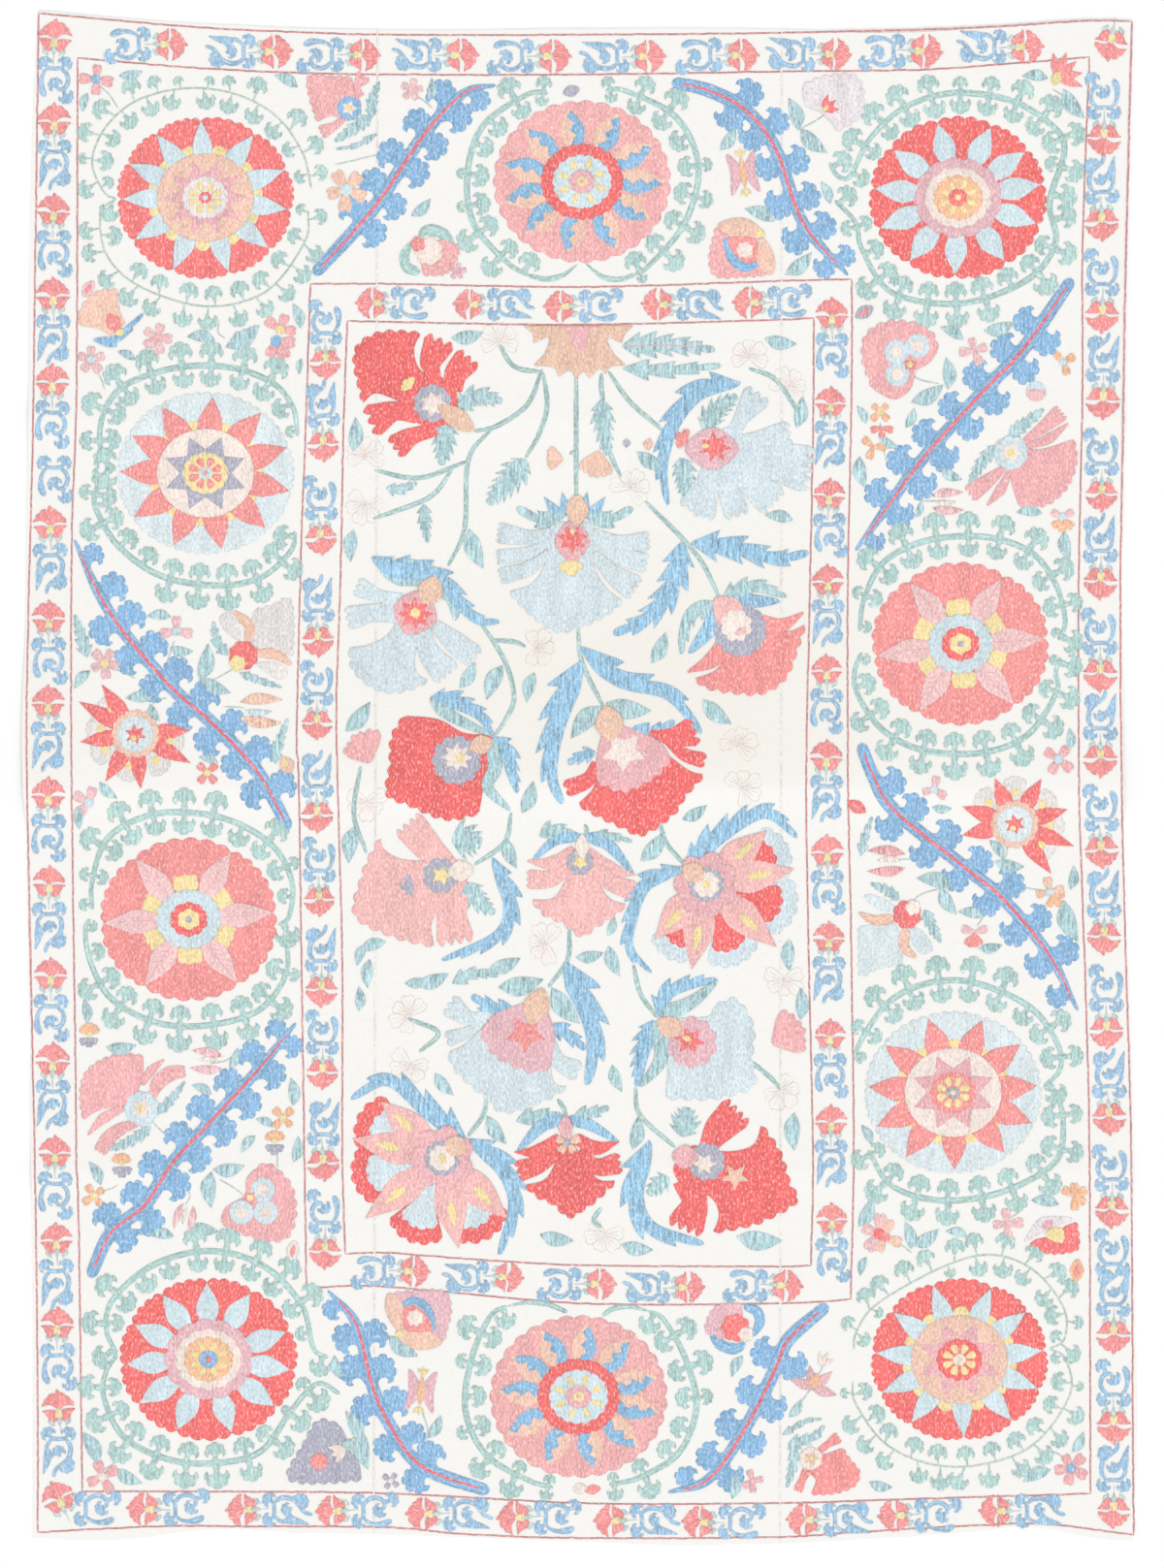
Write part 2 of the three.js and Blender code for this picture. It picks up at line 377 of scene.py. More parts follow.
def laid_silk():
    """Silk floss couched side by side: uneven dye along each thread and a fine grain of small stitches."""
    silk = bpy.data.materials.new("laid_silk")
    silk.use_nodes = True
    tree = silk.node_tree
    shader = tree.nodes["Principled BSDF"]
    shader.inputs["Roughness"].default_value = 0.7
    shader.inputs["Specular IOR Level"].default_value = 0.2
    dye = added(tree, "VertexColor")
    dye.layer_name = "dye"
    strength = added(tree, "Attribute")
    strength.attribute_name = "streak"
    way = added(tree, "UVMap")
    way.uv_map = "thread_way"
    noises = {}
    for name, scale, detail in (
            ("couching", (170, 330, 1), 3), ("dip", (40, 260, 1), 2), ("wear", (14, 45, 1), 2)):
        stretched = added(tree, "VectorMath", {1: scale}, "MULTIPLY")
        noises[name] = added(tree, "TexNoise", {"Scale": 1, "Detail": detail})
        joined(tree, (way, "UV"), (stretched, 0))
        joined(tree, (stretched, "Vector"), (noises[name], "Vector"))
    couching = added(tree, "MapRange", {"From Min": 0.3, "From Max": 0.7, "To Min": 0.8, "To Max": 1.2})
    couching.clamp = False
    dip = added(tree, "Math", {1: 0.5}, "SUBTRACT")
    strong = added(tree, "Math", operation="MULTIPLY")
    both = added(tree, "Math", operation="ADD")
    worn = added(tree, "MapRange", {"From Min": 0.3, "From Max": 0.7, "To Min": 0.9, "To Max": 1.07})
    uneven = added(tree, "Math", operation="MULTIPLY")
    shaded = added(tree, "VectorMath", operation="SCALE")
    flecks = added(tree, "MapRange", {"From Min": 0.54, "From Max": 0.72, "To Max": 0.6})
    parted = added(tree, "Mix")
    parted.data_type = "RGBA"
    parted.inputs[7].default_value = (*PARTED, 1)
    bump = added(tree, "Bump", {"Strength": 0.5, "Distance": 0.0006})
    joined(tree, (noises["couching"], "Fac"), (couching, "Value"))
    joined(tree, (noises["dip"], "Fac"), (dip, 0))
    joined(tree, (dip, "Value"), (strong, 0))
    joined(tree, (strength, "Fac"), (strong, 1))
    joined(tree, (couching, "Result"), (both, 0))
    joined(tree, (strong, "Value"), (both, 1))
    joined(tree, (dye, "Color"), (shaded, 0))
    joined(tree, (noises["wear"], "Fac"), (worn, "Value"))
    joined(tree, (both, "Value"), (uneven, 0))
    joined(tree, (worn, "Result"), (uneven, 1))
    joined(tree, (uneven, "Value"), (shaded, "Scale"))
    joined(tree, (noises["couching"], "Fac"), (flecks, "Value"))
    joined(tree, (flecks, "Result"), (parted, 0))
    joined(tree, (shaded, "Vector"), (parted, 6))
    joined(tree, (parted, 2), (shader, "Base Color"))
    joined(tree, (noises["couching"], "Fac"), (bump, "Height"))
    joined(tree, (bump, "Normal"), (shader, "Normal"))
    return silk


PARTED = dyed(250, 240, 234)
silk = laid_silk()
# Each framing line goes round clockwise from its upper left corner.
# Its points are its corners and the few places where it wavers.
FRAME_LINES = {
    "outer": (
        ((40, 14), (200, 28), (300, 33), (400, 36), (600, 36), (800, 34), (1000, 29), (1114, 22),
         (1167, 22)),
        ((1167, 22), (1160, 300), (1158, 430), (1155, 600), (1156, 800), (1161, 1000), (1166, 1190),
         (1168, 1500), (1169, 1583)),
        ((1169, 1583), (1119, 1576), (1066, 1571), (986, 1574), (880, 1580), (800, 1585), (600, 1586),
         (480, 1582), (400, 1575), (266, 1574), (160, 1574), (39, 1580)),
        ((39, 1580), (39, 1450), (37, 1250), (34, 1100), (28, 800), (29, 650), (34, 450), (36, 300),
         (40, 14)),
    ),
    "second": (
        ((80, 60), (200, 70), (300, 75), (400, 77), (600, 77), (800, 74), (950, 72), (1050, 65),
         (1123, 59)),
        ((1123, 59), (1116, 250), (1116, 400), (1112, 600), (1112, 800), (1115, 900), (1120, 1050),
         (1123, 1190), (1124, 1540)),
        ((1124, 1540), (933, 1546), (800, 1550), (600, 1550), (400, 1540), (200, 1538), (85, 1538)),
        ((85, 1538), (81, 1250), (79, 1200), (78, 1100), (74, 800), (74, 560), (79, 400), (80, 60)),
    ),
    "third": (
        ((320, 293), (400, 293), (604, 296), (800, 290), (878, 288)),
        ((878, 288), (878, 400), (874, 600), (874, 800), (876, 900), (878, 1000), (880, 1190), (877, 1340)),
        ((877, 1340), (800, 1344), (600, 1344), (400, 1327), (316, 1328)),
        ((316, 1328), (314, 1200), (311, 1000), (308, 800), (306, 760), (311, 550), (315, 450), (320, 293)),
    ),
    "inner": (
        ((358, 331), (400, 332), (591, 335), (800, 330), (839, 328)),
        ((839, 328), (838, 450), (834, 650), (831, 800), (833, 950), (838, 1190), (836, 1305)),
        ((836, 1305), (800, 1306), (613, 1305), (506, 1300), (400, 1292), (356, 1293)),
        ((356, 1293), (353, 1190), (353, 1000), (348, 800), (347, 720), (351, 600), (354, 450), (358, 331)),
    ),
}
LINE_WIDTH = 1.8
for sides in FRAME_LINES.values():
    for side in sides:
        line = smooth(side, 5)
        couch(line + rng.normal(0, 0.18, line.shape), LINE_WIDTH, LINE_RED, streak=0.5)
gather("framing_lines")

# Close whip stitches in the ground's own cotton draw the loom widths together and hide the two seams.
# Each row of them runs nearly the whole length of the cloth.
SEAM_THREAD = dyed(247, 244, 239)
SEAM_WIDTH = 2.2
for seam in (LEFT_SEAM, RIGHT_SEAM):
    down = np.arange(30, 1580, 4.0)
    across = through(seam, (MIDDLE_DOWN - down) * STITCH / MM) * MM / STITCH + MIDDLE_ACROSS
    couch(np.column_stack([across, down]), SEAM_WIDTH, SEAM_THREAD, streak=0.1, rim=0.97)
gather("seam_stitching")

# Round the cloth's edge and round its field run narrow borders of red blooms on thin stems.
# Each bloom grows from a blue scroll, and the two kinds of scroll take turns along every side.
# The outer border runs clockwise and the inner one the other way.
BLOOM_RED = dyed(249, 158, 158)
BLOOM_YELLOW = dyed(250, 230, 175)
SEPAL_TEAL = dyed(198, 222, 222)
STEM_GREY = dyed(205, 218, 216)
SCROLL_BLUE = dyed(166, 203, 232)
bloom_crown = cut(smooth(
    ((-18.5, -2), (-15.5, -6), (-14.5, -9.5), (-11, -11), (-9.5, -14), (-5.5, -15.5), (-2.5, -14.5),
     (-0.5, -19.5), (3.5, -15.5), (7, -14.5), (9, -11.5), (12, -10.5), (13.5, -7), (16.5, -5), (17, 0),
     (12, -1), (7, -1), (2.5, 1.5), (0, 2), (-3, 0.5), (-8, -3), (-13, -3)), 1.6, True))
bloom_lobe = cut(smooth(
    ((18.5, 3), (12, 2.3), (5.5, 2.5), (3.6, 4), (4.3, 8), (2.5, 13.5), (5, 15.5), (9, 14.8), (12.5, 10.5),
     (15, 5.5)), 1.8, True))
bloom_heart = cut(smooth(((0, 0.5), (3, 4.5), (4.3, 10), (0, 11.8), (-4.3, 10), (-3, 4.5)), 1.8, True))
bloom_bud = cut(smooth(((0, 9.5), (2.3, 14), (0, 20), (-2.3, 14)), 1.8, True))
bloom_sepal = cut(smooth(((6, 15.5), (11.5, 12.5), (12.5, 16.5), (8.5, 19.5), (6, 20.5)), 1.8, True))
leaf_head = cut(mirrored((
    ((0, -15.5), (3.6, -15), (4.4, -12.4)),
    ((4.4, -12.4), (7.8, -12.8), (9.8, -10), (9, -7.6)),
    ((9, -7.6), (11.6, -5.5), (11, -1.5), (8.2, 1.2)),
    ((8.2, 1.2), (8.2, -1.8), (5.8, -3.4), (3.4, -2.4), (2.2, 0.5), (2.2, 3)),
), 1.8), 6)
scroll_leaf = cut(smooth(
    ((-13, 10), (-6, 17.5), (-8.5, 24), (-11, 30), (-16.5, 39), (-16, 30), (-16, 20)), 1.8, True))


def bloom(at, turn, flip=False, size=1):
    """A red bloom with its crown up: scalloped crown, two cup lobes, a yellow heart and small sepals."""
    how = {"at": at, "turn": turn, "flip": flip, "size": size}
    for lobe_flip in (flip, not flip):
        side = dict(how, flip=lobe_flip)
        stitch(bloom_sepal, SEPAL_TEAL, **side)
        stitch(bloom_lobe, BLOOM_RED, layer=1, **side)
    stitch(bloom_crown, BLOOM_RED, layer=1, grain=turn + 90, **how)
    couch(laid(smooth(((0, 18), (0.5, 30)), 4), at, turn, size), 1.2, STEM_GREY)
    stitch(bloom_heart, BLOOM_YELLOW, layer=2, **how)
    stitch(bloom_bud, SEPAL_TEAL, layer=3, **how)


def head(at, turn, size, thread, layer=1, streak=0.9, flip=False):
    """A leaf head: rounded lobes over two curled ends, growing from its stalk's end."""
    stitch(leaf_head, thread, at, turn, size, flip, layer, grain=90, streak=streak)


def scroll(at, turn, curled, flip=False, size=1):
    """A blue scroll under a bloom's stem. The curled kind winds in, and the other ends in a pointed leaf."""
    def arm(points, width):
        couch(laid(smooth(points, 2.2), at, turn, size, flip), width, SCROLL_BLUE, layer=1, streak=0.9)

    def bud(across, down, lean, scale):
        spot = laid(((across, down),), at, turn, size, flip)[0]
        head(spot, turn + (-lean if flip else lean), scale * size, SCROLL_BLUE, 1)

    arm(((-9, 0), (0, 0.6), (9, 0)), 3.8)
    bud(-9, -2, -35, 0.72)
    bud(9, -2, 35, 0.72)
    if curled:
        arm(((-8, 1), (-12, 5), (-14.5, 13), (-14, 23), (-10.5, 31)), (3, 3.4, 4.5, 7, 5.5))
        arm(((7, 1), (12.5, 6), (14.5, 13), (12, 20.5), (6, 23.5), (1, 21)), (3.5, 4.5, 4.5, 3))
        bud(2.5, 21, -35, 0.72)
        arm(((10, 21), (10, 25), (11, 29)), 3.6)
        bud(10.5, 28, 150, 0.75)
    else:
        arm(((-6, 0.6), (-11, 5), (-14, 13)), (3, 4))
        stitch(scroll_leaf, SCROLL_BLUE, at, turn, size, flip, 1, grain=90, streak=0.9)
        arm(((8, 1), (12.5, 7), (13, 15), (10, 23), (3.5, 28.5), (-3, 34), (-5.5, 42)), (3.4, 5, 4.5, 4, 3.4))
        bud(1, 18, -12, 0.66)
        arm(((-5.5, 12), (-4, 16), (0, 18.5)), 2.6)
        bud(6, 27, 125, 0.8)


# Along each side: where it runs, which way the crowns point, and how far along each bloom stands.
OUTER_BLOOMS = (
    {"turn": 0, "bend": ((0, 57), (400, 54), (800, 50), (1200, 57), (1600, 62)),
     "along": (38, 124, 217, 304, 393, 540, 637, 724, 819, 910, 1005, 1093, 1188, 1278, 1365, 1451)},
    {"turn": 90, "bend": ((0, 38), (176, 46), (300, 54), (480, 57), (765, 57), (960, 53), (1100, 46)),
     "along": (176, 284, 375, 476, 571, 669, 765, 861, 954, 1058)},
    {"turn": 180,
     "bend": ((0, 1145), (144, 1138), (420, 1137), (700, 1134), (970, 1138), (1250, 1146), (1600, 1148)),
     "along": (144, 231, 326, 415, 511, 601, 696, 784, 878, 967, 1064, 1153, 1249, 1378, 1471, 1559)},
    {"turn": 270,
     "bend": ((0, 1556), (250, 1557), (436, 1561), (629, 1568), (828, 1567), (1026, 1558), (1200, 1556)),
     "along": (148, 250, 342, 436, 530, 629, 720, 828, 922, 1026)},
)
INNER_BLOOMS = (
    {"turn": 180, "bend": ((300, 338), (560, 331), (750, 327), (1000, 331), (1300, 335)),
     "along": (375, 460, 556, 661, 747, 842, 929, 1022, 1107, 1201, 1292)},
    {"turn": 90, "bend": ((300, 1309), (427, 1311), (524, 1317), (619, 1324), (880, 1324)),
     "along": (427, 524, 619, 710, 811)},
    {"turn": 0, "bend": ((300, 858), (510, 855), (780, 852), (1000, 855), (1300, 858)),
     "along": (324, 415, 510, 599, 691, 780, 878, 967, 1067, 1156, 1257)},
    {"turn": 270, "bend": ((300, 312), (483, 314), (577, 316), (678, 314), (880, 310)),
     "along": (383, 483, 577, 678, 772)},
)
SCROLL_DROP = 34
OUTER_SIZE = 0.95
INNER_SIZE = 0.9
CORNER_BLOOMS = ({"at": (1145, 46), "turn": 190}, {"at": (60, 1544), "turn": -25})
LONE_SCROLLS = (
    {"at": (56, 482), "turn": 0, "curled": True},
    {"at": (1147, 1304), "turn": 180, "curled": True},
    {"at": (88, 1556), "turn": 270, "curled": True},
)


def border(sides, size):
    """Blooms along each side, each with its scroll at the foot of its stem."""
    for side in sides:
        upright = side["turn"] in (0, 180)
        away = laid(((0, SCROLL_DROP),), turn=side["turn"], size=size)[0]
        for count, along in enumerate(side["along"]):
            bend = float(through(side["bend"], along))
            spot = np.array((bend, along) if upright else (along, bend))
            bloom(spot, side["turn"] + rng.normal(0, 2), bool(rng.integers(2)),
                  size * rng.uniform(0.97, 1.04))
            scroll(spot + away, side["turn"] + rng.normal(0, 1.5), count % 2 == 0, size=size)


border(OUTER_BLOOMS, OUTER_SIZE)
for corner in CORNER_BLOOMS:
    bloom(corner["at"], corner["turn"], size=OUTER_SIZE)
for extra in LONE_SCROLLS:
    scroll(extra["at"], extra["turn"], extra["curled"], size=OUTER_SIZE)
gather("outer_border")
border(INNER_BLOOMS, INNER_SIZE)
gather("inner_border")

# Ten great rosettes stand between the two borders: five kinds, each sewn twice, a little wider than high.
# Each is a scalloped disc of laid silk, and petals, stars and flowers are sewn on it towards the middle.
# Angles go clockwise from the right, and reaches are from the rosette's middle.
SQUASH = 0.915
CORAL = dyed(250, 132, 131)
DEEP_CORAL = dyed(249, 122, 120)
SOFT_CORAL = dyed(251, 160, 158)
ROSE = dyed(247, 184, 184)
BLUSH = dyed(248, 206, 206)
MAUVE = dyed(241, 186, 190)
DUSK_MAUVE = dyed(236, 190, 198)
LILAC = dyed(184, 184, 200)
SKY = dyed(214, 232, 239)
PALE_SKY = dyed(224, 236, 240)
BRIGHT_BLUE = dyed(150, 195, 230)
YELLOW = dyed(251, 230, 170)
PEACH = dyed(247, 206, 186)
CREAM = dyed(249, 234, 225)
ORANGE = dyed(252, 200, 160)
MILK = dyed(243, 235, 234)


def petal(length, base, belly, where=0.4):
    """A pointed petal from its foot at (0, 0) up to its tip, widest part of the way along."""
    return mirrored((((0, -length), (belly / 2, -where * length), (base / 2, 0)),))


def scalloped(reach, count, depth, squash=1):
    """A round outline edged with rounded scallops."""
    turn = np.linspace(0, 2 * np.pi, max(count * 6, 36), endpoint=False)
    radius = reach - depth * (1 - np.abs(np.sin(count * turn / 2)))
    return np.column_stack([radius * np.cos(turn), squash * radius * np.sin(turn)])


def sectored(reach, tips, lobes, dip, notch):
    """A scalloped outline in sectors that dip towards each petal's tip."""
    ends = list(tips[1:]) + [tips[0] + 360]
    share = np.linspace(0, 1, lobes * 5, endpoint=False)
    edge = []
    for first, last in zip(tips, ends):
        turn = np.radians(first + (last - first) * share)
        radius = reach - dip * (1 - np.sin(np.pi * share)) ** 2
        radius = radius - notch * (1 - np.abs(np.sin(lobes * np.pi * share)))
        edge.append(np.column_stack([radius * np.cos(turn), SQUASH * radius * np.sin(turn)]))
    return np.vstack(edge)


def around(at, reach, angle):
    """A place round a rosette's middle."""
    return np.array(at) + reach * np.array((np.cos(np.radians(angle)), SQUASH * np.sin(np.radians(angle))))


def facing(start, end):
    """How far, and turned by how much from straight up, one place lies from another."""
    step = np.subtract(end, start)
    return np.hypot(*step), np.degrees(np.arctan2(step[1], step[0])) + 90


def rays(at, angles, start, end, base, belly, thread, layer, where=0.4):
    """Pointed petals round a rosette, between two reaches."""
    for angle in angles:
        foot, tip = around(at, start, angle), around(at, end + rng.normal(0, 0.8), angle)
        length, turn = facing(foot, tip)
        fill(petal(length, base, belly, where), thread, at=foot, turn=turn, layer=layer)


def disc(at, reach, count, depth, thread, layer):
    """A scalloped disc about a rosette's middle."""
    fill(scalloped(reach, count, depth, SQUASH), thread, at=at, layer=layer)


def button(at, reach, count, depth, thread, layer):
    """A small scalloped round, as wide as it is high."""
    fill(scalloped(reach, count, depth), thread, at=at, layer=layer)


def spaced(count, first=0.0):
    """So many even angles round a rosette."""
    return first + 360 * np.arange(count) / count


def between(angles):
    """The angles halfway between a rosette's petals."""
    ends = np.append(angles[1:], angles[0] + 360)
    return (np.array(angles) + ends) / 2


def star(at, points, outer, inner, thread, layer, first=-90):
    """A star of straight points sewn over a disc."""
    corners = [around((0, 0), outer if k % 2 == 0 else inner, first + 180 * k / points)
               for k in range(2 * points)]
    runs = [(a, b) for a, b in zip(corners, corners[1:] + corners[:1])]
    fill(cornered(runs, 3), thread, at=at, layer=layer)


def small_flower(at, reach, count, petals, core, dot, layer):
    """Rounded petals round a core with a dot, at the middle of a rosette."""
    for angle in spaced(count, 360 / count / 2):
        foot, tip = around(at, reach * 0.42, angle), around(at, reach, angle)
        length, turn = facing(foot, tip)
        fill(mirrored((((0, -length), (reach * 0.22, -length * 0.8), (reach * 0.1, 0)),), 1.8), petals,
             at=foot, turn=turn, layer=layer)
    disc(at, reach * 0.4, 8, 1, core, layer)
    disc(at, reach * 0.17, 5, 0.3, dot, layer + 1)


def sun_rosette(at, tips, ground, lobes, dip, petals, base, inside, pointed, points, heart, flower, core,
                dot):
    """A disc with eleven pointed petals, yellow bumps between them, and a star on the disc inside them."""
    fill(sectored(92, tips, lobes, dip, 2.8), ground, at=at, layer=0)
    for angle in between(tips):
        button(around(at, 51, angle), 8.5, 1, 0, YELLOW, 1)
    rays(at, tips, 47, 87, base, base * 0.86, petals, 2, 0.42)
    disc(at, 50, 1, 0, inside, 3)
    star(at, points, 44, 27, pointed, 4, -90 + 180 / points)
    disc(at, 24, 13, 1.8, heart, 5)
    small_flower(at, 18, 8, flower, core, dot, 6)


def lotus_rosette(at, tips, core, dot):
    """A coral disc with eleven long petals round rings of mauve, cream and orange."""
    fill(sectored(92.5, tips, 4, 2.5, 3.4), DEEP_CORAL, at=at, layer=0)
    rays(at, tips, 40, 86, 14, 23, SKY, 1, 0.45)
    disc(at, 46, 13, 3, DUSK_MAUVE, 2)
    disc(at, 34.5, 14, 2, CREAM, 3)
    disc(at, 26, 14, 2.2, ORANGE, 4)
    rays(at, spaced(8, 22), 8, 22, 3, 6, YELLOW, 5, 0.6)
    disc(at, 10, 8, 1, core, 6)
    disc(at, 3.2, 1, 0, dot, 7)


def leaf_rosette(at, tips):
    """A rose disc with eleven leaves, each half peach and half blue along a zigzag, and a ringed flower."""
    disc(at, 92, 31, 3.4, ROSE, 0)
    for angle in tips:
        foot, tip = around(at, 38, angle), around(at, 85 + rng.normal(0, 1), angle)
        length, turn = facing(foot, tip)
        fill(petal(length, 15, 27, 0.45), PEACH, at=foot, turn=turn, layer=1)
        teeth = [((-1) ** k * 3 - 0.5, -length * (0.9 - 0.15 * k)) for k in range(6)]
        side = smooth(((6.8, 0), (12.6, -0.44 * length), (0, -length)), 2.2)
        half = np.vstack([side, teeth, ((-0.5, 0),)])
        fill(half, BRIGHT_BLUE, at=foot, turn=turn, layer=2, streak=0.6)
    disc(at, 43, 26, 2, DEEP_CORAL, 3)
    disc(at, 31, 17, 2, SKY, 4)
    rays(at, spaced(8, 20), 14, 27, 3, 6, YELLOW, 5, 0.6)
    disc(at, 13.5, 9, 1.4, MAUVE, 6)
    disc(at, 6, 6, 0.8, YELLOW, 7)
    disc(at, 2.2, 1, 0, MAUVE, 8)


def six_rosette(at, tips):
    """A coral disc in six sectors with veined petals, yellow lobes and rings of blue, red and yellow."""
    fill(sectored(92.5, tips, 6, 2.5, 3.6), SOFT_CORAL, at=at, layer=0)
    for angle in between(tips):
        foot, tip = around(at, 30, angle), around(at, 51, angle)
        length, turn = facing(foot, tip)
        notch, side = (5, -length * 0.92), (12.5, -length * 0.55)
        lobe = mirrored((
            ((0, -length), notch), (notch, (11, -length * 0.9), side), (side, (13, -length * 0.3), (9, 0))))
        fill(lobe, YELLOW, at=foot, turn=turn, layer=1)
    rays(at, tips, 29, 88, 13, 25, BLUSH, 2, 0.42)
    for angle in tips:
        foot, tip = around(at, 34, angle), around(at, 82, angle)
        length, turn = facing(foot, tip)
        couch(laid(smooth(((0, 0), (1, -length * 0.5), (0, -length)), 4), foot, turn), 1, MAUVE, layer=3)
        for k in range(1, 6):
            for side in (-1, 1):
                reach = 8.5 * np.sin(np.pi * (0.25 + 0.13 * k))
                vein = ((0, -length * 0.14 * k), (side * reach * 0.5, -length * (0.14 * k + 0.1)),
                        (side * reach, -length * (0.14 * k + 0.16)))
                couch(laid(smooth(vein, 3), foot, turn), 0.9, MAUVE, layer=3)
    disc(at, 34, 17, 2.6, SKY, 3)
    disc(at, 20, 10, 2, DEEP_CORAL, 4)
    disc(at, 12, 6, 2, YELLOW, 5)
    disc(at, 3.4, 1, 0, LILAC, 6)


sun_rosette((211.7, 204), (-93, -55, -21, 9, 41, 74, 112, 147, 179, 206, 235), CORAL, 5, 3, SKY, 21,
            PEACH, MAUVE, 10, MILK, YELLOW, CORAL, SKY)
sun_rosette((989, 1402), (-108, -68, -38, -7, 22, 52, 87, 125, 155, 185, 218), DEEP_CORAL, 5, 3, SKY, 21,
            PEACH, MAUVE, 8, DEEP_CORAL, YELLOW, MILK, YELLOW)
sun_rosette((212, 488), (-121, -85, -50, -19, 13, 45, 79, 112, 146, 181, 209), PALE_SKY, 5, 1, SOFT_CORAL, 26,
            CREAM, LILAC, 8, YELLOW, SOFT_CORAL, SKY, SOFT_CORAL)
sun_rosette((982.5, 1126.5), (-107, -70, -38, -5, 23, 52, 89, 124, 154, 184, 217), PALE_SKY, 5, 1,
            SOFT_CORAL, 26, CREAM, MAUVE, 8, SOFT_CORAL, YELLOW, LILAC, YELLOW)
lotus_rosette((987.5, 204), (-104, -67, -37, -10, 20, 56, 92, 125, 157, 187, 219), CORAL, YELLOW)
lotus_rosette((215, 1401.5), (-91, -60, -21, 8, 38, 74, 112, 145, 176, 207, 237), BRIGHT_BLUE, CORAL)
leaf_rosette((600, 187.5), (-100, -64, -30, 0, 31, 64, 100, 135, 164, 193, 225))
leaf_rosette((596.5, 1440), (-84, -51, -16, 12, 43, 78, 113, 150, 184, 213, 243))
six_rosette((990, 664), (-127, -60, -4, 51, 119, 171))
six_rosette((194.7, 948), (-129, -60, -5, 55, 121, 177))
gather("rosettes")

# Eight heavy branches in strong blue run aslant between the rosettes, each with a red thread up its middle.
# A branch tapers from its blunt foot to its tip, and broad lobed heads grow from it in pairs.
# The side of a head that faces the foot ends in a hook.
BRANCH_BLUE = dyed(146, 190, 228)
BRANCH_RED = dyed(243, 128, 138)
SPINE_STEP = 2.5
HEAD_PITCH = 40
TIP_GAP = 27
HEAD_REACH = 29
BAND_ACROSS = (78, 1117)
BAND_DOWN = (80, 1542)
FIELD_ACROSS = (309, 881)
FIELD_DOWN = (291, 1343)
BRANCHES = (
    (68, ((324, 283), (385, 215), (438, 138), (479, 96), (511, 88))),
    (66, ((693, 85), (732, 94), (770, 115), (800, 155), (828, 230), (874, 284))),
    (58, ((1105, 288), (1055, 360), (1017, 400), (953, 471), (917, 520), (882, 568))),
    (42, ((887, 767), (900, 800), (922, 836), (994, 894), (1035, 928), (1081, 984), (1111, 1042))),
    (40, ((298, 855), (265, 795), (217, 744), (179, 711), (130, 655), (102, 612), (77, 557))),
    (50, ((93, 1317), (114, 1272), (149, 1243), (179, 1198), (217, 1157), (268, 1101), (305, 1055))),
    (66, ((504, 1538), (435, 1512), (400, 1466), (383, 1426), (367, 1365), (338, 1331))),
    (72, ((853, 1346), (813, 1381), (800, 1410), (772, 1466), (732, 1524), (689, 1539))),
)
branch_head = cut(cornered((
    ((17, -2), (9, -6), (4.5, -10), (4.5, -14)),
    ((4.5, -14), (5.5, -17), (8.5, -18), (11.5, -16)),
    ((11.5, -16), (12.5, -20), (10.5, -24), (7, -25)),
    ((7, -25), (5, -29), (-1, -30), (-3.5, -27)),
    ((-3.5, -27), (-6, -31), (-13, -29.5), (-13.5, -25)),
    ((-13.5, -25), (-18.5, -25), (-21, -19), (-18, -15.5)),
    ((-18, -15.5), (-20.5, -12.5), (-19, -8), (-15, -7.5)),
    ((-15, -7.5), (-15.5, -2)),
    ((-15.5, -2), (17, -2)),
)))
taken = []
for first, stem in BRANCHES:
    spine = smooth(stem, SPINE_STEP)
    run = len(spine) * SPINE_STEP
    couch(spine, (12, 14, 14, 13.5, 13, 12, 10, 3), BRANCH_BLUE, layer=1, streak=0.9)
    couch(spine[4:-6], (2, 3.4, 3.4, 3.4, 1.6), BRANCH_RED, layer=2)
    step = np.gradient(spine, axis=0)
    pairs = int(round((run - first - TIP_GAP) / HEAD_PITCH)) + 1
    for side, late in ((1, 0), (-1, 5)):
        for station in np.linspace(first, run - TIP_GAP, pairs) + late:
            k = min(len(spine) - 1, int(station / SPINE_STEP))
            turn = np.degrees(np.arctan2(step[k][1], step[k][0])) + (180 if side > 0 else 0)
            size = rng.uniform(0.9, 1.0) * min(1, 0.5 + (run - station) / 90)
            across, down = laid(((0, -HEAD_REACH * size),), spine[k], turn)[0]
            in_band = BAND_ACROSS[0] < across < BAND_ACROSS[1] and BAND_DOWN[0] < down < BAND_DOWN[1]
            in_field = FIELD_ACROSS[0] < across < FIELD_ACROSS[1] and FIELD_DOWN[0] < down < FIELD_DOWN[1]
            if in_field or not in_band:
                continue
            stitch(branch_head, BRANCH_BLUE, spine[k], turn + rng.normal(0, 5), size, side < 0, 0, grain=90,
                   streak=0.9)
            taken.append((across, down))
gather("blue_branches")

